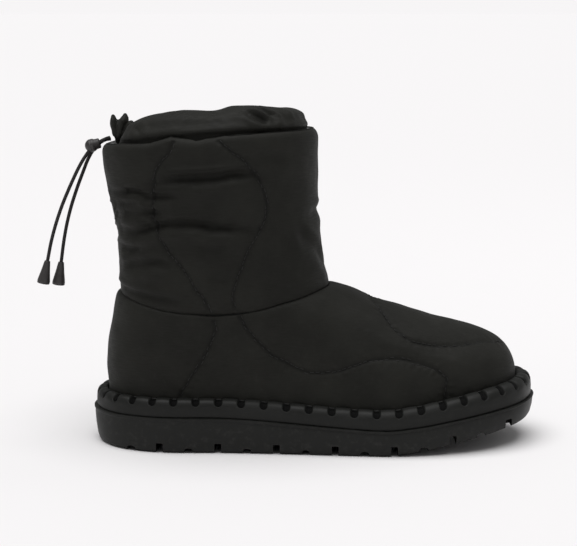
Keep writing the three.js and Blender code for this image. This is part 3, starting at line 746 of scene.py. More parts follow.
# Creases that the cloth took from wear: points as above, depth and half width in millimetres, and
# whether the inner side has one like it.
creases = [
    ([(-128, 168), (-109, 171.5), (-85, 172.5), (-68, 174.5), (-48, 172.5)], 4.4, 3.1, True),
    ([(-164, 161), (-141, 163), (-131, 160), (-113, 162), (-103, 166)], 3.6, 2.5, True),
    ([(-158, 154), (-146, 155), (-132, 155.5)], 2.6, 2.6, True),
    ([(-160, 148.5), (-142, 149.5), (-127, 150.8), (-119, 150.5)], 2.8, 2.6, True),
    ([(-158, 138), (-144, 138.3), (-128, 142.8), (-105, 144.8), (-82, 142.5), (-64, 141), (-52, 140)],
     4.8, 3.0, True),
    ([(-165, 127), (-150, 126), (-138, 128)], 2.2, 3.0, True),
    ([(-162, 114.4), (-146, 118), (-130, 119.3), (-111, 117)], 3.0, 3.4, True),
    ([(-178, 101), (-164, 100.5), (-140, 98), (-118, 96), (-101, 94.6)], 2.4, 3.2, True),
    ([(-92, 112), (-80, 109), (-70, 110)], 1.4, 2.6, True),
    ([(-98, 131), (-86, 128), (-74, 130)], 1.2, 3.4, True),
    ([(-36, 140), (-28, 136.5), (-20, 130), (-10, 122), (-2, 112)], 1.7, 4.2, True),
    ([(-22, 147), (-10, 148.5), (4, 148), (16, 149)], 1.4, 3.4, False),
    ([(-52, 152), (-44, 148), (-37, 132), (-34, 118)], 1.4, 6.0, True),
    ([(-176, 134), (180, 135), (176, 134)], 2.0, 3.2, False),
    ([(-172, 150), (-165, 149.5), (-160, 147.5)], 2.2, 2.8, True),
    ([(-34, 180), (-46, 184), (-58, 186)], 1.3, 4.0, True),
]


def rayOut(tree, centre, direction):
    hits = []
    start = Vector(centre)
    while True:
        place, normal, index, far = tree.ray_cast(start, direction)
        if place is None:
            break
        hits.append(place)
        start = place + direction * 1e-5
    return hits[-1] if hits else None


def finer(points, step=1 * mm):
    # a smooth line through the points with a point every step
    pts = [Vector(p) for p in points]
    pts = [pts[0] * 2 - pts[1]] + pts + [pts[-1] * 2 - pts[-2]]
    line = []
    for k in range(1, len(pts) - 2):
        a, b, c, d = pts[k - 1:k + 3]
        count = max(int((c - b).length / step), 1)
        for i in range(count):
            line.append(between(a, b, c, d, i / count))
    line.append(pts[-2])
    return line


shaftAxis = (-66 * mm, 1.5 * mm)


def spoke(degrees, z):
    # where a level ray out of the shaft's axis starts, and its direction
    a = math.radians(degrees)
    return Vector((*shaftAxis, z)), Vector((math.cos(a), math.sin(a), 0))


def fromAxis(p):
    return math.hypot(p.x - shaftAxis[0], p.y - shaftAxis[1])


def shaftLine(tree, points, mirrored=False):
    # angle and height become points on the shaft's outer face
    line = []
    for angle, z in points:
        hit = rayOut(tree, *spoke(-angle if mirrored else angle, z * mm))
        if hit:
            line.append(hit)
    return finer(line)


def footLine(tree, points, mirrored=False):
    line = []
    for x, y, z in points:
        side = -1 if mirrored else 1
        shift = 2 * 5 * mm * float(ease(0, 0.14, x * mm)) if mirrored else 0
        line.append(tree.find_nearest(Vector((x * mm, side * y * mm + shift, z * mm)))[0])
    return finer(line)


def treeOf(obj):
    bm = bmesh.new()
    bm.from_mesh(obj.data)
    tree = BVHTree.FromBMesh(bm)
    bm.free()
    return tree


def boxMap(obj, name="weave"):
    # a UV map in millimetres, laid on each face from the side that it looks to most
    mesh = obj.data
    layer = mesh.uv_layers.new(name=name)
    n = len(mesh.loops)
    verts = np.empty(n, int)
    mesh.loops.foreach_get("vertex_index", verts)
    co = coords(obj)[verts] / mm
    faceNormals = np.empty(len(mesh.polygons) * 3)
    mesh.polygons.foreach_get("normal", faceNormals)
    faceNormals = np.abs(faceNormals.reshape(-1, 3))
    totals = np.empty(len(mesh.polygons), int)
    mesh.polygons.foreach_get("loop_total", totals)
    axis = np.repeat(faceNormals.argmax(axis=1), totals)
    uv = np.where((axis == 0)[:, None], co[:, [1, 2]], np.where((axis == 1)[:, None], co[:, [0, 2]], co[:, [0, 1]]))
    layer.data.foreach_set("uv", uv.ravel())


def cloudy(co, size, seed=0.0):
    # smooth repeatable noise at a size
    shift = Vector((seed, seed * 1.7, seed * 0.3))
    return np.array([noise.noise(Vector(p) / size + shift) for p in co])


def lineFields(co, lines):
    # distance to the nearest line and how far along that line it is
    total = sum(len(line) for line in lines)
    tree = KDTree(total)
    runs = []
    for line in lines:
        run = 0.0
        for i, p in enumerate(line):
            run += (p - line[i - 1]).length if i else 0
            tree.insert(p, len(runs))
            runs.append(run)
    tree.balance()
    far = np.empty(len(co))
    along = np.empty(len(co))
    for i, p in enumerate(co):
        place, index, gap = tree.find(p)
        far[i] = gap
        along[i] = runs[index]
    return far, along


creaseShape = {  # in half widths: how far a trough reaches, and the low ridge beside it
    "above": 0.62,
    "below": 1.25,
    "ridgeAt": 2.0,
    "ridgeWidth": 0.9,
    "ridge": 0.42,  # share of the depth
}


def creaseDepth(co, line, depth, half):
    # a soft trough, steep above and long below, with a low ridge on either side, fading at its ends
    shape = creaseShape
    pts = np.array([tuple(p) for p in line])
    deep = np.zeros(len(co))
    box = np.all((co > pts.min(axis=0) - 4 * half) & (co < pts.max(axis=0) + 4 * half), axis=1)
    near = np.where(box)[0]
    if len(near) == 0:
        return deep
    gaps = np.linalg.norm(co[near][:, None] - pts[None], axis=2)
    best = gaps.argmin(axis=1)
    far = gaps[np.arange(len(near)), best]
    place = best / (len(pts) - 1)
    above = co[near][:, 2] > pts[best][:, 2]
    far = far / np.where(above, shape["above"] * half, shape["below"] * half)
    ends = 0.2 + 0.8 * ease(0, 0.3, place) * (1 - ease(0.7, 1, place))
    trough = np.exp(-far ** 2)
    ridge = np.exp(-((far - shape["ridgeAt"]) / shape["ridgeWidth"]) ** 2)
    deep[near] = depth * ends * (trough - shape["ridge"] * ridge)
    return deep


def dressCloth(obj, lines, folds, outward, seed):
    # presses the quilting and the creases into the outer face
    co = coords(obj)
    no = normals(obj)
    mask = ease(0.05, 0.45, (no * outward(co)).sum(axis=1))
    far, along = lineFields(co, lines)
    q = quilt
    grooveAndShade = np.exp(-(far / q["grooveWidth"]) ** 2)
    wander = cloudy(co, 14 * mm, seed) * 2.2
    waves = np.sin(2 * math.pi * along / q["puckerPitch"] + wander * 2.4)
    push = q["puff"] * (1 - np.exp(-(far / q["puffReach"]) ** 2)) - q["level"] * q["puff"]
    push -= q["grooveDepth"] * grooveAndShade * (1 + q["wave"] * waves)
    push += q["pucker"] * waves * np.exp(-((far - 0.5 * q["puckerReach"]) / (0.6 * q["puckerReach"])) ** 2)
    for line, depth, half in folds:
        push -= creaseDepth(co, line, depth * mm, half * mm)
    for height, size, number in q["waves"]:
        push += height * cloudy(co, size, seed + number)
    co += no * (push * mask)[:, None]
    setCoords(obj, co)
    # the groove's shape is also kept as the mask for painted shade along the quilt lines
    saveMask(obj, "grooveAndShade", grooveAndShade * mask)


def crowdLines(obj, lines, name):
    # sewn stitches along the lines: one small capsule, copied along them into one mesh
    s = stitchSizes
    deselectAll()
    bpy.ops.mesh.primitive_uv_sphere_add(segments=6, ring_count=5, radius=s["thick"] / 2)
    pattern = bpy.context.object
    longer = s["length"] / 2 - s["thick"] / 2
    base = np.array([tuple(v.co) for v in pattern.data.vertices])
    base[:, 2] += np.sign(np.round(base[:, 2], 7)) * longer
    faces = [tuple(f.vertices) for f in pattern.data.polygons]
    bpy.data.objects.remove(pattern)
    tree = treeOf(obj)
    allCo, allFaces = [], []
    for line in lines:
        run = 0.0
        due = s["pitch"] / 2
        for a, b in zip(line, line[1:]):
            step = (b - a).length
            while due <= run + step and step > 0:
                p = a.lerp(b, (due - run) / step)
                place, normal, index, gap = tree.find_nearest(p)
                ahead = (b - a).normalized()
                side = normal.cross(ahead).normalized()
                frameOf = np.array([side, normal, ahead])
                start = len(allCo) * len(base)
                allCo.append(base @ frameOf + np.array(place + normal * s["thick"] * 0.12))
                allFaces.extend(tuple(i + start for i in f) for f in faces)
                due += s["pitch"]
            run += step
    mesh = bpy.data.meshes.new(name)
    mesh.from_pydata(np.concatenate(allCo).tolist(), [], allFaces)
    stitches = bpy.data.objects.new(name, mesh)
    bpy.context.scene.collection.objects.link(stitches)
    smooth(stitches)
    return stitches


stitchSizes = {"length": 2.4 * mm, "thick": 0.5 * mm, "pitch": 3.4 * mm}


def clothCopy(node, name, outward, levels):
    # the CAD wall as quads, its inner faces kept in a slot of their own for the lining
    obj = copyNode(node, name)
    co = coords(obj)
    obj.data.materials.append(bpy.data.materials.new(name + "Shell"))
    obj.data.materials.append(bpy.data.materials.new(name + "Lining"))
    for f in obj.data.polygons:
        centre = np.array(f.center)[None]
        inner = float((np.array(f.normal)[None] * outward(centre)).sum()) < -0.1
        f.material_index = 1 if inner else 0
    subdivide(obj, levels)
    smooth(obj)
    return obj


def footOutward(co):
    middle = np.stack([np.clip(co[:, 0], -85 * mm, 66 * mm), co[:, 0] * 0, np.minimum(co[:, 2], 34 * mm)], axis=1)
    out = co - middle
    return out / (np.linalg.norm(out, axis=1)[:, None] + 1e-9)


def shaftOutward(co):
    out = co - np.array([shaftAxis[0], shaftAxis[1], 0])
    out[:, 2] = 0
    return out / (np.linalg.norm(out, axis=1)[:, None] + 1e-9)


def makeFoot():
    tree = treeOf(nodes["foot_upper"])
    lines = [footLine(tree, line, mirrored) for line in quilt["footLines"] for mirrored in (False, True)]
    obj = clothCopy("foot_upper", "footUpperCloth", footOutward, 3)
    dressCloth(obj, lines, [], footOutward, 11.3)
    boxMap(obj)
    return obj, lines


def makeShaft():
    tree = treeOf(nodes["shaft"])
    lines = [shaftLine(tree, line, mirrored) for line in quilt["shaftLines"] for mirrored in (False, True)]
    folds = []
    for points, depth, half, both in creases:
        for mirrored in (False, True)[:2 if both else 1]:
            folds.append((shaftLine(tree, points, mirrored), depth, half))
    obj = clothCopy("shaft", "shaftCloth", shaftOutward, 3)
    dressCloth(obj, lines, folds, shaftOutward, 4.1)
    shapeRim(obj, tree)
    boxMap(obj)
    return obj, lines


rim = {
    # the rim's near edge against a straight one: distance along the boot and rise, in millimetres
    "waveX": [-133, -119, -110, -100, -88, -72, -56, -35, -12, 2],
    "waveZ": [0.2, -0.3, -0.8, -1.2, 1.6, -2.0, -0.6, -0.2, 0.2, 0.4],
    "height": 6 * mm,  # how far down the edge starts to round inwards
    "drawIn": 1.6 * mm,
    "reach": 13 * mm,
    "probe": (0.180, 0.175),  # heights below the rim where the wall is felt for
}


def rimTops(tree):
    # the highest point of the shaft's wall, for each degree round it
    tops = []
    for degree in range(360):
        for z in rim["probe"]:
            start, way = spoke(degree, z)
            hit = rayOut(tree, start, way)
            if hit:
                break
        over = Vector((*shaftAxis, 0.24)) + way * (fromAxis(hit) - 3 * mm)
        place = tree.ray_cast(over, Vector((0, 0, -1)))[0]
        tops.append(place.z)
    return np.array(tops)


def shapeRim(obj, tree):
    r = rim
    co = coords(obj)
    degrees = np.degrees(np.arctan2(co[:, 1] - shaftAxis[1], co[:, 0] - shaftAxis[0])) % 360
    tops = rimTops(tree)
    top = np.interp(degrees, np.arange(361), np.append(tops, tops[0]))
    down = top - co[:, 2]
    wave = np.interp(co[:, 0] / mm, r["waveX"], r["waveZ"]) * mm
    inner = np.interp(-co[:, 0] / mm - 134, r["waveX"], r["waveZ"]) * mm * 0.7
    near = ease(15 * mm, -15 * mm, co[:, 1])
    weight = 1 - ease(0, r["reach"], down)
    out = shaftOutward(co)
    wall = ease(-0.2, 0.2, (normals(obj) * out).sum(axis=1))
    fold = np.clip(1 - down / r["height"], 0, 1) ** 2
    co[:, 2] += (wave * near + inner * (1 - near)) * weight
    co -= out * (fold * r["drawIn"] * wall)[:, None]
    setCoords(obj, co)


def closeSeam(obj, other, reach=4 * mm, gap=0.12 * mm):
    # draws the lip of one piece to its neighbour, so that the seam between them is a fine line
    tree = treeOf(other)
    co = coords(obj)
    for i, p in enumerate(co):
        place, normal, index, far = tree.find_nearest(Vector(p), reach)
        if place is None or far <= gap:
            continue
        pull = (1 - float(ease(0.8 * mm, reach, far))) * max(min(far, 1.6 * mm) - gap, 0) * 0.9
        co[i] += np.array(place - Vector(p)) / far * pull
    setCoords(obj, co)


footUpper, footLines = makeFoot()
shaft, shaftLines = makeShaft()
closeSeam(shaft, footUpper)
for piece, node in ((footUpper, "foot_upper"), (shaft, "shaft")):
    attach(piece, "root")
    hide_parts(node)
print("foot and shaft are made", len(footUpper.data.polygons), len(shaft.data.polygons))

footStitches = crowdLines(footUpper, footLines, "footStitches")
shaftStitches = crowdLines(shaft, shaftLines, "shaftStitches")
for piece in (footStitches, shaftStitches):
    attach(piece, "root")
print("stitches are made", len(footStitches.data.polygons), len(shaftStitches.data.polygons))

collarSizes = {
    "around": 420,
    "wall": 2.0 * mm,
    "below": 26 * mm,  # how far it runs down inside the shaft
    "bulge": 4.2 * mm,
    # the fold's top edge round the opening: angle, height and distance from the shaft's axis
    "topAngle": [-180, -165, -150, -135, -120, -105, -90, -75, -60, -45, -30, -15, 0, 15,
                 30, 60, 90, 120, 150, 165, 180],
    "topHeight": [203, 204.6, 207.4, 209.6, 210.6, 210.6, 210.2, 210.6, 213.2, 213.9, 212.6, 211.9, 210.2, 207.6,
                  205.6, 204.4, 203.4, 202.6, 202, 202.4, 203],
    "topRadius": [47, 45, 38, 31.5, 28, 25, 24, 25, 28.5, 33.5, 40, 47, 51, 50, 46, 36, 34, 36, 43, 46, 47],
    "pinch": 8 * mm,  # how far the cord draws it in at the back
    "pinchHalf": 17,  # degrees to either side
    "gathers": 17,
    "gatherDepth": 0.8 * mm,
    "folds": [  # points, depth and half width in millimetres
        ([(-96, -29, 208), (-85, -28, 208.6), (-75, -28, 208.8)], 0.9, 1.6),
        ([(-84, -34, 204), (-80, -30, 208), (-78, -27, 210)], 0.8, 1.8),
        ([(-66, -27, 210), (-62, -31, 207.5), (-57, -34, 203)], 1.0, 2.4),
        ([(-44, -31, 211), (-39, -32, 209), (-33, -33, 206.5), (-27, -32, 205.5)], 3.0, 2.2),
        ([(-36, -25, 213), (-31, -28, 211), (-25, -30, 208.5), (-22, -31, 207)], 2.2, 1.9),
        ([(-20, -24, 212), (-17, -26, 207), (-15, -27, 202)], 1.4, 2.4),
        ([(-108, -22, 203), (-105, -27, 199), (-101, -31, 195)], 1.2, 2.6),
    ],
    "lobes": [  # the ear's folded lobes: centre, half sizes and lean in degrees
        ((-124.4, -3.0, 198.6), (2.5, 5.0, 8.6), -12),
        ((-119.8, -5.0, 199.2), (3.0, 5.6, 8.4), 14),
        ((-116.0, -7.0, 196.4), (3.0, 5.0, 7.6), 22),
        ((-122.0, -1.0, 195.6), (3.2, 5.4, 8.6), 2),
    ],
    "earVoxel": 0.5 * mm,
}


def softRow(angles, values, at):
    # a row of values round the opening, read smoothly
    fine = np.arange(-180, 180, 1.0)
    line = np.interp(fine, angles, values)
    wide = np.concatenate([line[-24:], line, line[:24]])
    kernel = np.exp(-(np.arange(-12, 13) / 6.0) ** 2)
    calm = np.convolve(wide, kernel / kernel.sum(), mode="same")[24:-24]
    return np.interp(at, np.append(fine, 180), np.append(calm, calm[0]))


def collarSections():
    s = collarSizes
    count = s["around"]
    angles = np.linspace(0, 360, count, endpoint=False)
    signed = (angles + 180) % 360 - 180
    tree = treeOf(nodes["shaft"])
    tops = rimTops(tree)
    inside = []
    for degree in range(360):
        inside.append(fromAxis(tree.ray_cast(*spoke(degree, 0.178))[0]))
    wrap = lambda values: np.interp(angles, np.arange(361), np.append(values, values[0]))
    rimZ, inR = wrap(tops), wrap(np.array(inside))
    topZ = softRow(s["topAngle"], s["topHeight"], signed) * mm
    topR = softRow(s["topAngle"], s["topRadius"], signed) * mm
    near = ease(20, -40, signed) * ease(-178, -150, signed)
    drawn = np.array([noise.noise(Vector((math.cos(a) * 2, math.sin(a) * 2, 3.0))) for a in np.radians(angles)])
    waves = np.cos(np.radians(angles) * s["gathers"] + 3.0 * drawn) * s["gatherDepth"] * (1 - 0.75 * near)
    tall = topZ - rimZ
    pinch = s["pinch"] * np.exp(-((180 - np.abs(signed)) / s["pinchHalf"]) ** 2)
    bulge = s["bulge"] * (0.35 + 0.65 * near)
    rows = [  # distance from the axis and height, from low inside the shaft up to the fold's top
        (inR - 0.5 * mm, rimZ - s["below"]),
        (inR - 0.5 * mm, rimZ - 14 * mm),
        (inR - 0.6 * mm, rimZ - 5 * mm),
        (inR - 0.9 * mm - pinch * 0.5, rimZ + 0 * mm),
        (inR - 0.5 * mm + 0.35 * (bulge - 2 * mm) - pinch, rimZ + 0.22 * tall),
        (inR + (topR - inR) * 0.16 + bulge * 0.35 - 1 * mm - pinch, rimZ + 0.48 * tall),
        (inR + (topR - inR) * 0.42 + bulge * 0.45 - pinch, rimZ + 0.76 * tall),
        (inR + (topR - inR) * 0.74 + bulge * 0.22 - pinch, rimZ + 0.95 * tall),
        (topR - pinch, topZ),
    ]
    share = [0, 0.1, 0.25, 0.4, 0.6, 0.8, 1.0, 1.1, 1.1]
    control = np.array([np.stack([r + waves * k, z], axis=1) for (r, z), k in zip(rows, share)])
    fine = []
    for k in range(len(control) - 1):
        a, b, c, d = (control[min(max(k + i, 0), len(control) - 1)] for i in (-1, 0, 1, 2))
        for t in np.linspace(0, 1, 5, endpoint=False):
            fine.append(between(a, b, c, d, t))
    fine.append(control[-1])
    fine = np.array(fine)
    run = np.gradient(fine, axis=0)
    run /= np.linalg.norm(run, axis=2)[:, :, None]
    inwards = np.stack([-run[:, :, 1], run[:, :, 0]], axis=2)
    wall = s["wall"]
    over = [fine[-1] + inwards[-1] * wall * (1 - math.cos(t)) / 2 + run[-1] * wall * math.sin(t) / 2
            for t in (math.pi * 0.25, math.pi * 0.5, math.pi * 0.75)]
    back = (fine + inwards * wall)[::-1]
    section = np.concatenate([fine, np.array(over), back])
    flat = np.radians(angles)
    x = shaftAxis[0] + section[:, :, 0] * np.cos(flat)[None]
    y = shaftAxis[1] + section[:, :, 0] * np.sin(flat)[None]
    return np.stack([x, y, section[:, :, 1]], axis=2)


def makeEar():
    s = collarSizes
    lobes = []
    for place, half, lean in s["lobes"]:
        deselectAll()
        bpy.ops.mesh.primitive_uv_sphere_add(segments=28, ring_count=18, radius=1)
        lobe = bpy.context.object
        lobe.scale = [v * mm for v in half]
        lobe.rotation_euler = (math.radians(lean * 0.3), math.radians(lean), 0)
        lobe.location = [v * mm for v in place]
        settle(lobe)
        lobes.append(lobe)
    ear = joinAll(lobes)
    addModifier(ear, "REMESH", mode="VOXEL", voxel_size=s["earVoxel"], adaptivity=0.0)
    addModifier(ear, "SMOOTH", factor=0.5, iterations=3)
    co = coords(ear)
    push = 0.9 * mm * cloudy(co, 6 * mm, 2.0) + 0.35 * mm * cloudy(co, 2.6 * mm, 8.0)
    setCoords(ear, co + normals(ear) * push[:, None])
    return ear


def makeCollar():
    s = collarSizes
    obj = loft("collarCloth", list(collarSections()), closed=True)
    co = coords(obj)
    no = normals(obj)
    push = 0.55 * mm * cloudy(co, 15 * mm, 21.0) + 0.25 * mm * cloudy(co, 6 * mm, 5.0)
    for points, depth, half in s["folds"]:
        push -= creaseDepth(co, finer([Vector(p) * mm for p in points]), depth * mm, half * mm)
    outer = (no * shaftOutward(co)).sum(axis=1) > -0.3
    setCoords(obj, co + no * (push * ease(178 * mm, 192 * mm, co[:, 2]) * outer)[:, None])
    addModifier(obj, "SMOOTH", factor=0.4, iterations=1)
    joinAll([obj, makeEar()])
    smooth(obj)
    boxMap(obj)
    return obj


collar = makeCollar()
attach(collar, "root")
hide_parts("collar")
print("collar is made", len(collar.data.polygons))


# Node groups shared by the finishes. Each puts out only values that change over the surface.
def newGroup(name, inputs, outputs):
    # an input with a number is a float, one without is a vector
    tree = bpy.data.node_groups.new(name, "ShaderNodeTree")
    for label, value in inputs.items():
        kind = "NodeSocketVector" if value is None else "NodeSocketFloat"
        socket = tree.interface.new_socket(name=label, in_out="INPUT", socket_type=kind)
        if value is not None:
            socket.default_value = value
    for label in outputs:
        tree.interface.new_socket(name=label, in_out="OUTPUT", socket_type="NodeSocketFloat")
    return tree, addNode(tree, "NodeGroupInput"), addNode(tree, "NodeGroupOutput")


def addNode(tree, kind, x=0, y=0, **settings):
    node = tree.nodes.new(kind)
    node.location = (x, y)
    for key, value in settings.items():
        setattr(node, key, value)
    return node


def feed(tree, socket, value):
    # numbers and tones are set on the socket, anything else is linked to it
    if isinstance(value, tuple):
        socket.default_value = (*value, 1.0)
    elif isinstance(value, (int, float)):
        socket.default_value = value
    else:
        tree.links.new(value, socket)


def mathNode(tree, operation, *values):
    node = addNode(tree, "ShaderNodeMath", operation=operation)
    for socket, value in zip(node.inputs, values):
        feed(tree, socket, value)
    return node.outputs[0]


def noiseNode(tree, vector, scale, detail=3.0, roughness=0.55, stretch=None):
    if stretch:
        mapping = addNode(tree, "ShaderNodeMapping")
        mapping.inputs["Scale"].default_value = stretch
        tree.links.new(vector, mapping.inputs["Vector"])
        vector = mapping.outputs[0]
    node = addNode(tree, "ShaderNodeTexNoise")
    tree.links.new(vector, node.inputs["Vector"])
    feed(tree, node.inputs["Scale"], scale)
    node.inputs["Detail"].default_value = detail
    node.inputs["Roughness"].default_value = roughness
    return node.outputs[0]


def rangeNode(tree, value, low, high, toLow=0.0, toHigh=1.0):
    node = addNode(tree, "ShaderNodeMapRange")
    node.interpolation_type = "SMOOTHSTEP"
    tree.links.new(value, node.inputs["Value"])
    for label, number in (("From Min", low), ("From Max", high), ("To Min", toLow), ("To Max", toHigh)):
        node.inputs[label].default_value = number
    return node.outputs[0]


def buildPlainWeave():
    # threads over and under each other, from a map in millimetres
    tree, start, end = newGroup("plainWeave", {"Map": None, "Pitch": 0.45}, ["Height", "Slub"])
    split = addNode(tree, "ShaderNodeSeparateXYZ")
    tree.links.new(start.outputs["Map"], split.inputs[0])
    waves = []
    for axis in (0, 1):
        turns = mathNode(tree, "DIVIDE", split.outputs[axis], start.outputs["Pitch"])
        waves.append(mathNode(tree, "SINE", mathNode(tree, "MULTIPLY", turns, math.pi)))
    cross = mathNode(tree, "MULTIPLY", waves[0], waves[1])
    ridges = mathNode(tree, "ADD", mathNode(tree, "ABSOLUTE", waves[0]), mathNode(tree, "ABSOLUTE", waves[1]))
    height = mathNode(tree, "ADD", mathNode(tree, "MULTIPLY", ridges, 0.5), mathNode(tree, "MULTIPLY", cross, 0.25))
    tree.links.new(height, end.inputs["Height"])
    slub = noiseNode(tree, start.outputs["Map"], 0.9, 2.0, 0.6, (0.15, 1.6, 1.0))
    tree.links.new(slub, end.inputs["Slub"])
    return tree


def buildFineGrain():
    tree, start, end = newGroup("fineGrain", {"Place": None, "Size": 900.0}, ["Height", "Cloud"])
    tree.links.new(noiseNode(tree, start.outputs["Place"], start.outputs["Size"], 2.0), end.inputs["Height"])
    tree.links.new(noiseNode(tree, start.outputs["Place"], 38.0, 3.0), end.inputs["Cloud"])
    return tree


def buildLightWear():
    # pale dust near the floor and faint rubbed streaks
    tree, start, end = newGroup("lightWear", {"Place": None, "Reach": 0.03}, ["Dust", "Rub"])
    split = addNode(tree, "ShaderNodeSeparateXYZ")
    tree.links.new(start.outputs["Place"], split.inputs[0])
    low = mathNode(tree, "SUBTRACT", 1.0, mathNode(tree, "DIVIDE", split.outputs[2], start.outputs["Reach"]))
    low = mathNode(tree, "MAXIMUM", low, 0.0)
    specks = rangeNode(tree, noiseNode(tree, start.outputs["Place"], 260.0, 4.0, 0.65), 0.5, 0.72)
    tree.links.new(mathNode(tree, "MULTIPLY", low, specks), end.inputs["Dust"])
    streaks = noiseNode(tree, start.outputs["Place"], 120.0, 3.0, 0.6, (0.25, 0.25, 2.2))
    tree.links.new(rangeNode(tree, streaks, 0.52, 0.75), end.inputs["Rub"])
    return tree


def buildBraid():
    # two sets of strands crossing round a cord, from a map in millimetres
    tree, start, end = newGroup("cordBraid", {"Map": None, "Pitch": 1.15}, ["Height"])
    split = addNode(tree, "ShaderNodeSeparateXYZ")
    tree.links.new(start.outputs["Map"], split.inputs[0])
    u = mathNode(tree, "DIVIDE", split.outputs[0], start.outputs["Pitch"])
    v = mathNode(tree, "DIVIDE", split.outputs[1], start.outputs["Pitch"])
    sets = []
    for operation in ("ADD", "SUBTRACT"):
        turns = mathNode(tree, operation, u, v)
        sets.append(mathNode(tree, "SINE", mathNode(tree, "MULTIPLY", turns, 2 * math.pi)))
    tree.links.new(mathNode(tree, "MAXIMUM", sets[0], sets[1]), end.inputs["Height"])
    return tree


groups = {"weave": buildPlainWeave(), "grain": buildFineGrain(), "wear": buildLightWear(), "braid": buildBraid()}


def useGroup(tree, name, **values):
    node = addNode(tree, "ShaderNodeGroup")
    node.node_tree = groups[name]
    for key, value in values.items():
        feed(tree, node.inputs[key], value)
    return node


def mixColor(tree, factor, a, b):
    node = addNode(tree, "ShaderNodeMix", data_type="RGBA")
    for place, value in ((0, factor), (6, a), (7, b)):
        feed(tree, node.inputs[place], value)
    return node.outputs[2]


def newFinish(name):
    mat = bpy.data.materials.new(name)
    mat.use_nodes = True
    tree = mat.node_tree
    tree.nodes.clear()
    out = addNode(tree, "ShaderNodeOutputMaterial", 600)
    shader = addNode(tree, "ShaderNodeBsdfPrincipled", 300)
    tree.links.new(shader.outputs[0], out.inputs[0])
    place = addNode(tree, "ShaderNodeTexCoord", -900)
    return mat, tree, shader, place


def bumpInto(tree, shader, heights):
    # heights come as (value, strength, distance in millimetres) and are laid one over the other
    normal = None
    for value, strength, distance in heights:
        bump = addNode(tree, "ShaderNodeBump")
        bump.inputs["Strength"].default_value = strength
        bump.inputs["Distance"].default_value = distance * mm
        tree.links.new(value, bump.inputs["Height"])
        if normal:
            tree.links.new(normal, bump.inputs["Normal"])
        normal = bump.outputs[0]
    tree.links.new(normal, shader.inputs["Normal"])


nylonLook = {
    "tone": (0.0094, 0.0093, 0.0076),
    "toneWorn": (0.0132, 0.0131, 0.0108),
    # painted shade: the tone that the cloth darkens to in the sewn quilt grooves
    "toneGrooveShade": (0.0030, 0.0030, 0.0028),
    "toneDust": (0.16, 0.155, 0.145),
    "dusty": 0.02,
    "rough": (0.60, 0.74),
    "specular": 0.15,
    "sheen": 0.03,
    "pitch": 0.5,
}


def makeNylon(name, look, gloss=0.0, wrinkle=0.0):
    mat, tree, shader, place = newFinish(name)
    uv = addNode(tree, "ShaderNodeUVMap", -900, -200, uv_map="weave")
    weave = useGroup(tree, "weave", Map=uv.outputs[0], Pitch=look["pitch"])
    grain = useGroup(tree, "grain", Place=place.outputs["Object"], Size=700.0)
    wear = useGroup(tree, "wear", Place=place.outputs["Object"], Reach=0.2)
    grooveAndShade = addNode(tree, "ShaderNodeAttribute", attribute_name="grooveAndShade")
    cloud = rangeNode(tree, grain.outputs["Cloud"], 0.3, 0.72)
    tone = mixColor(tree, cloud, look["tone"], look["toneWorn"])
    tone = mixColor(tree, mathNode(tree, "MULTIPLY", wear.outputs["Dust"], look["dusty"]), tone, look["toneDust"])
    # painted shade: the cloth darkens along the sewn quilt grooves by their mask
    tone = mixColor(tree, mathNode(tree, "MULTIPLY", grooveAndShade.outputs["Fac"], 0.5), tone, look["toneGrooveShade"])
    tree.links.new(tone, shader.inputs["Base Color"])
    low, high = look["rough"]
    slub = rangeNode(tree, weave.outputs["Slub"], 0.3, 0.7, low - gloss, high - gloss)
    tree.links.new(slub, shader.inputs["Roughness"])
    shader.inputs["Specular IOR Level"].default_value = look["specular"]
    shader.inputs["Sheen Weight"].default_value = look["sheen"]
    shader.inputs["Sheen Roughness"].default_value = 0.45
    heights = [(weave.outputs["Height"], 0.35, 0.08), (grain.outputs["Height"], 0.25, 0.12)]
    ripple = noiseNode(tree, place.outputs["Object"], 150.0, 3.0, 0.5)
    heights.append((ripple, 0.30 + wrinkle, 0.5 + wrinkle))
    bumpInto(tree, shader, heights)
    return mat


rubberLook = {
    "tone": (0.0100, 0.0103, 0.0094),
    "toneWorn": (0.0165, 0.0168, 0.0158),
    "dust": (0.30, 0.29, 0.27),
    "rough": (0.44, 0.60),
    "specular": 0.18,
}
# painted shade: a darker copy of the sole rubber for the faces inside the tread's cuts
recessShadeLook = {  # inside the tread's cuts
    "tone": (0.0040, 0.0040, 0.0038),
    "toneWorn": (0.0060, 0.0060, 0.0056),
    "dust": (0.12, 0.115, 0.11),
    "rough": (0.75, 0.9),
    "specular": 0.08,
}


# painted shade: the near-black tone that the welt takes deep in its notches
notchShadeTone = (0.0015, 0.0015, 0.0015)  # deep in the welt's notches


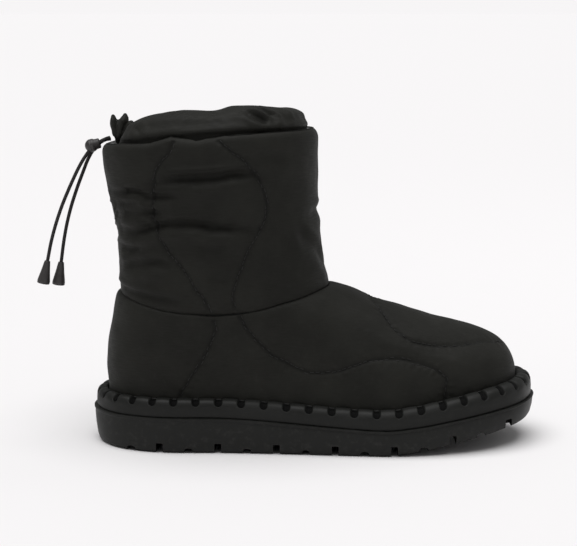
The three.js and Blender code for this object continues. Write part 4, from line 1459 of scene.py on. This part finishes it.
def makeRubber(name, look, dusty):
    mat, tree, shader, place = newFinish(name)
    grain = useGroup(tree, "grain", Place=place.outputs["Object"], Size=1100.0)
    wear = useGroup(tree, "wear", Place=place.outputs["Object"], Reach=0.045)
    cloud = rangeNode(tree, grain.outputs["Cloud"], 0.35, 0.7)
    tone = mixColor(tree, mathNode(tree, "MULTIPLY", cloud, 0.45), look["tone"], look["toneWorn"])
    tone = mixColor(tree, mathNode(tree, "MULTIPLY", wear.outputs["Rub"], 0.35), tone, look["toneWorn"])
    tone = mixColor(tree, mathNode(tree, "MULTIPLY", wear.outputs["Dust"], dusty), tone, look["dust"])
    grooveAndShade = addNode(tree, "ShaderNodeAttribute", attribute_name="grooveAndShade")
    # painted shade: the welt darkens inside its notches by the notch mask
    tone = mixColor(tree, mathNode(tree, "MULTIPLY", grooveAndShade.outputs["Fac"], 0.92), tone, notchShadeTone)
    tree.links.new(tone, shader.inputs["Base Color"])
    low, high = look["rough"]
    rough = rangeNode(tree, grain.outputs["Cloud"], 0.3, 0.7, low, high)
    rough = mathNode(tree, "MAXIMUM", rough, grooveAndShade.outputs["Fac"])
    tree.links.new(rough, shader.inputs["Roughness"])
    shader.inputs["Specular IOR Level"].default_value = look["specular"]
    bumpInto(tree, shader, [(grain.outputs["Height"], 0.35, 0.10), (wear.outputs["Rub"], 0.15, 0.06)])
    return mat


plasticLook = {"tone": (0.026, 0.023, 0.023), "toneWorn": (0.034, 0.031, 0.031), "rough": (0.38, 0.52)}


def makePlastic(name, look):
    mat, tree, shader, place = newFinish(name)
    grain = useGroup(tree, "grain", Place=place.outputs["Object"], Size=2600.0)
    cloud = rangeNode(tree, noiseNode(tree, place.outputs["Object"], 420.0, 3.0), 0.3, 0.7)
    tree.links.new(mixColor(tree, cloud, look["tone"], look["toneWorn"]), shader.inputs["Base Color"])
    low, high = look["rough"]
    tree.links.new(rangeNode(tree, grain.outputs["Cloud"], 0.3, 0.7, low, high), shader.inputs["Roughness"])
    shader.inputs["Specular IOR Level"].default_value = 0.45
    bumpInto(tree, shader, [(grain.outputs["Height"], 0.3, 0.05)])
    return mat


cordLook = {"tone": (0.010, 0.009, 0.009), "toneHigh": (0.030, 0.027, 0.028), "pitch": 1.1517}


def makeCordFinish():
    look = cordLook
    mat, tree, shader, place = newFinish("wovenCord")
    uv = addNode(tree, "ShaderNodeUVMap", -900, -200, uv_map="weave")
    braid = useGroup(tree, "braid", Map=uv.outputs[0], Pitch=look["pitch"])
    grain = useGroup(tree, "grain", Place=place.outputs["Object"], Size=3000.0)
    # painted light and shade: the braid's strand crowns are coloured lighter and the valleys between them darker
    top = rangeNode(tree, braid.outputs["Height"], -0.2, 0.95)
    tree.links.new(mixColor(tree, top, look["tone"], look["toneHigh"]), shader.inputs["Base Color"])
    tree.links.new(rangeNode(tree, grain.outputs["Height"], 0.3, 0.7, 0.6, 0.8), shader.inputs["Roughness"])
    shader.inputs["Specular IOR Level"].default_value = 0.3
    bumpInto(tree, shader, [(braid.outputs["Height"], 0.8, 0.22), (grain.outputs["Height"], 0.3, 0.04)])
    return mat


threadLook = {"tone": (0.003, 0.003, 0.0026), "toneHigh": (0.007, 0.007, 0.006)}


def makeThreadFinish():
    mat, tree, shader, place = newFinish("sewingThread")
    twist = noiseNode(tree, place.outputs["Object"], 1800.0, 2.0)
    tree.links.new(mixColor(tree, twist, threadLook["tone"], threadLook["toneHigh"]), shader.inputs["Base Color"])
    tree.links.new(rangeNode(tree, twist, 0.3, 0.7, 0.6, 0.75), shader.inputs["Roughness"])
    bumpInto(tree, shader, [(twist, 0.4, 0.05)])
    return mat


def makeLining(name, tone, toneHigh):
    mat, tree, shader, place = newFinish(name)
    pile = noiseNode(tree, place.outputs["Object"], 900.0, 4.0, 0.7)
    tufts = noiseNode(tree, place.outputs["Object"], 240.0, 3.0, 0.6)
    tree.links.new(mixColor(tree, tufts, tone, toneHigh), shader.inputs["Base Color"])
    tree.links.new(rangeNode(tree, pile, 0.3, 0.7, 0.8, 0.95), shader.inputs["Roughness"])
    shader.inputs["Specular IOR Level"].default_value = 0.2
    shader.inputs["Sheen Weight"].default_value = 0.3
    bumpInto(tree, shader, [(tufts, 0.6, 0.8), (pile, 0.5, 0.3)])
    return mat


def setFinishes(obj, *mats):
    obj.data.materials.clear()
    for mat in mats:
        obj.data.materials.append(mat)


def keepSlots(obj, *mats):
    # new finishes in the places of the old ones
    slots = np.empty(len(obj.data.polygons), int)
    obj.data.polygons.foreach_get("material_index", slots)
    setFinishes(obj, *mats)
    obj.data.polygons.foreach_set("material_index", slots)


def dressAll():
    lining = makeLining("fleeceLining", (0.012, 0.012, 0.012), (0.03, 0.03, 0.029))
    shell = makeNylon("shellNylon", nylonLook)
    for obj in (footUpper, shaft):
        keepSlots(obj, shell, lining)
    setFinishes(collar, makeNylon("collarNylon", nylonLook, 0.06, 0.1))
    thread = makeThreadFinish()
    setFinishes(footStitches, thread)
    setFinishes(shaftStitches, thread)
    # the faces in the tread's cuts take the darker rubber: painted shade
    keepSlots(outsole, makeRubber("soleRubber", rubberLook, 0.04), makeRubber("treadRecessShade", recessShadeLook, 0.02))
    setFinishes(welt, makeRubber("weltRubber", rubberLook, 0.02))
    setFinishes(insole, makeLining("insoleCloth", (0.014, 0.014, 0.014), (0.028, 0.028, 0.027)))
    plastic = makePlastic("lockPlastic", plasticLook)
    for obj in (cordLock, *cordEndPieces):
        setFinishes(obj, plastic)
    woven = makeCordFinish()
    for obj in cordPieces:
        setFinishes(obj, woven)


dressAll()
print("finishes are on")

stage = {"size": 400.0, "white": 0.86, "far": 0.93}  # far is what the camera sees past the floor


def makeStage():
    deselectAll()
    bpy.ops.mesh.primitive_plane_add(size=stage["size"], location=(0, 0, 0))
    floor = bpy.context.object
    floor.name = "studioFloor"
    settle(floor)
    mat = bpy.data.materials.new("studioPaper")
    mat.use_nodes = True
    shader = mat.node_tree.nodes["Principled BSDF"]
    white = stage["white"]
    shader.inputs["Base Color"].default_value = (white, white * 0.984, white * 0.991, 1)
    shader.inputs["Roughness"].default_value = 1.0
    shader.inputs["Specular IOR Level"].default_value = 0.0
    setFinishes(floor, mat)


lights = {
    "sun": {"from": (-0.10, -0.20, 1.0), "soft": 60, "strength": 2.66},  # soft is in degrees
    "sheen": {"place": (1.25, 0.55, 0.75), "aim": (0.0, 0, 0.12), "size": (0.4, 0.9), "power": 1.0},
    "air": 0.27,
}


def makeLights():
    deselectAll()
    one = lights["sun"]
    bpy.ops.object.light_add(type="SUN", location=(-0.5, -0.5, 2.0))
    sun = bpy.context.object
    sun.name = "softTop"
    sun.data.angle = math.radians(one["soft"])
    sun.data.energy = one["strength"]
    sun.rotation_euler = Vector(one["from"]).to_track_quat("Z", "Y").to_euler()
    one = lights["sheen"]
    deselectAll()
    bpy.ops.object.light_add(type="AREA", location=one["place"])
    lamp = bpy.context.object
    lamp.name = "sheenLight"
    lamp.data.shape = "RECTANGLE"
    lamp.data.size, lamp.data.size_y = one["size"]
    lamp.data.energy = one["power"]
    lamp.rotation_euler = (Vector(one["aim"]) - Vector(one["place"])).to_track_quat("-Z", "Y").to_euler()
    world = bpy.data.worlds.new("studioAir")
    world.use_nodes = True
    tree = world.node_tree
    air = tree.nodes["Background"]
    air.inputs[0].default_value = (1, 1, 1, 1)
    air.inputs[1].default_value = lights["air"]
    seen = addNode(tree, "ShaderNodeBackground")
    far = stage["far"]
    seen.inputs[0].default_value = (far, far * 0.984, far * 0.991, 1)
    rays = addNode(tree, "ShaderNodeLightPath")
    both = addNode(tree, "ShaderNodeMixShader")
    tree.links.new(rays.outputs["Is Camera Ray"], both.inputs[0])
    tree.links.new(air.outputs[0], both.inputs[1])
    tree.links.new(seen.outputs[0], both.inputs[2])
    tree.links.new(both.outputs[0], tree.nodes["World Output"].inputs[0])
    bpy.context.scene.world = world
    bpy.context.scene.view_settings.view_transform = "Standard"


makeStage()
makeLights()
print("stage and lights are up")
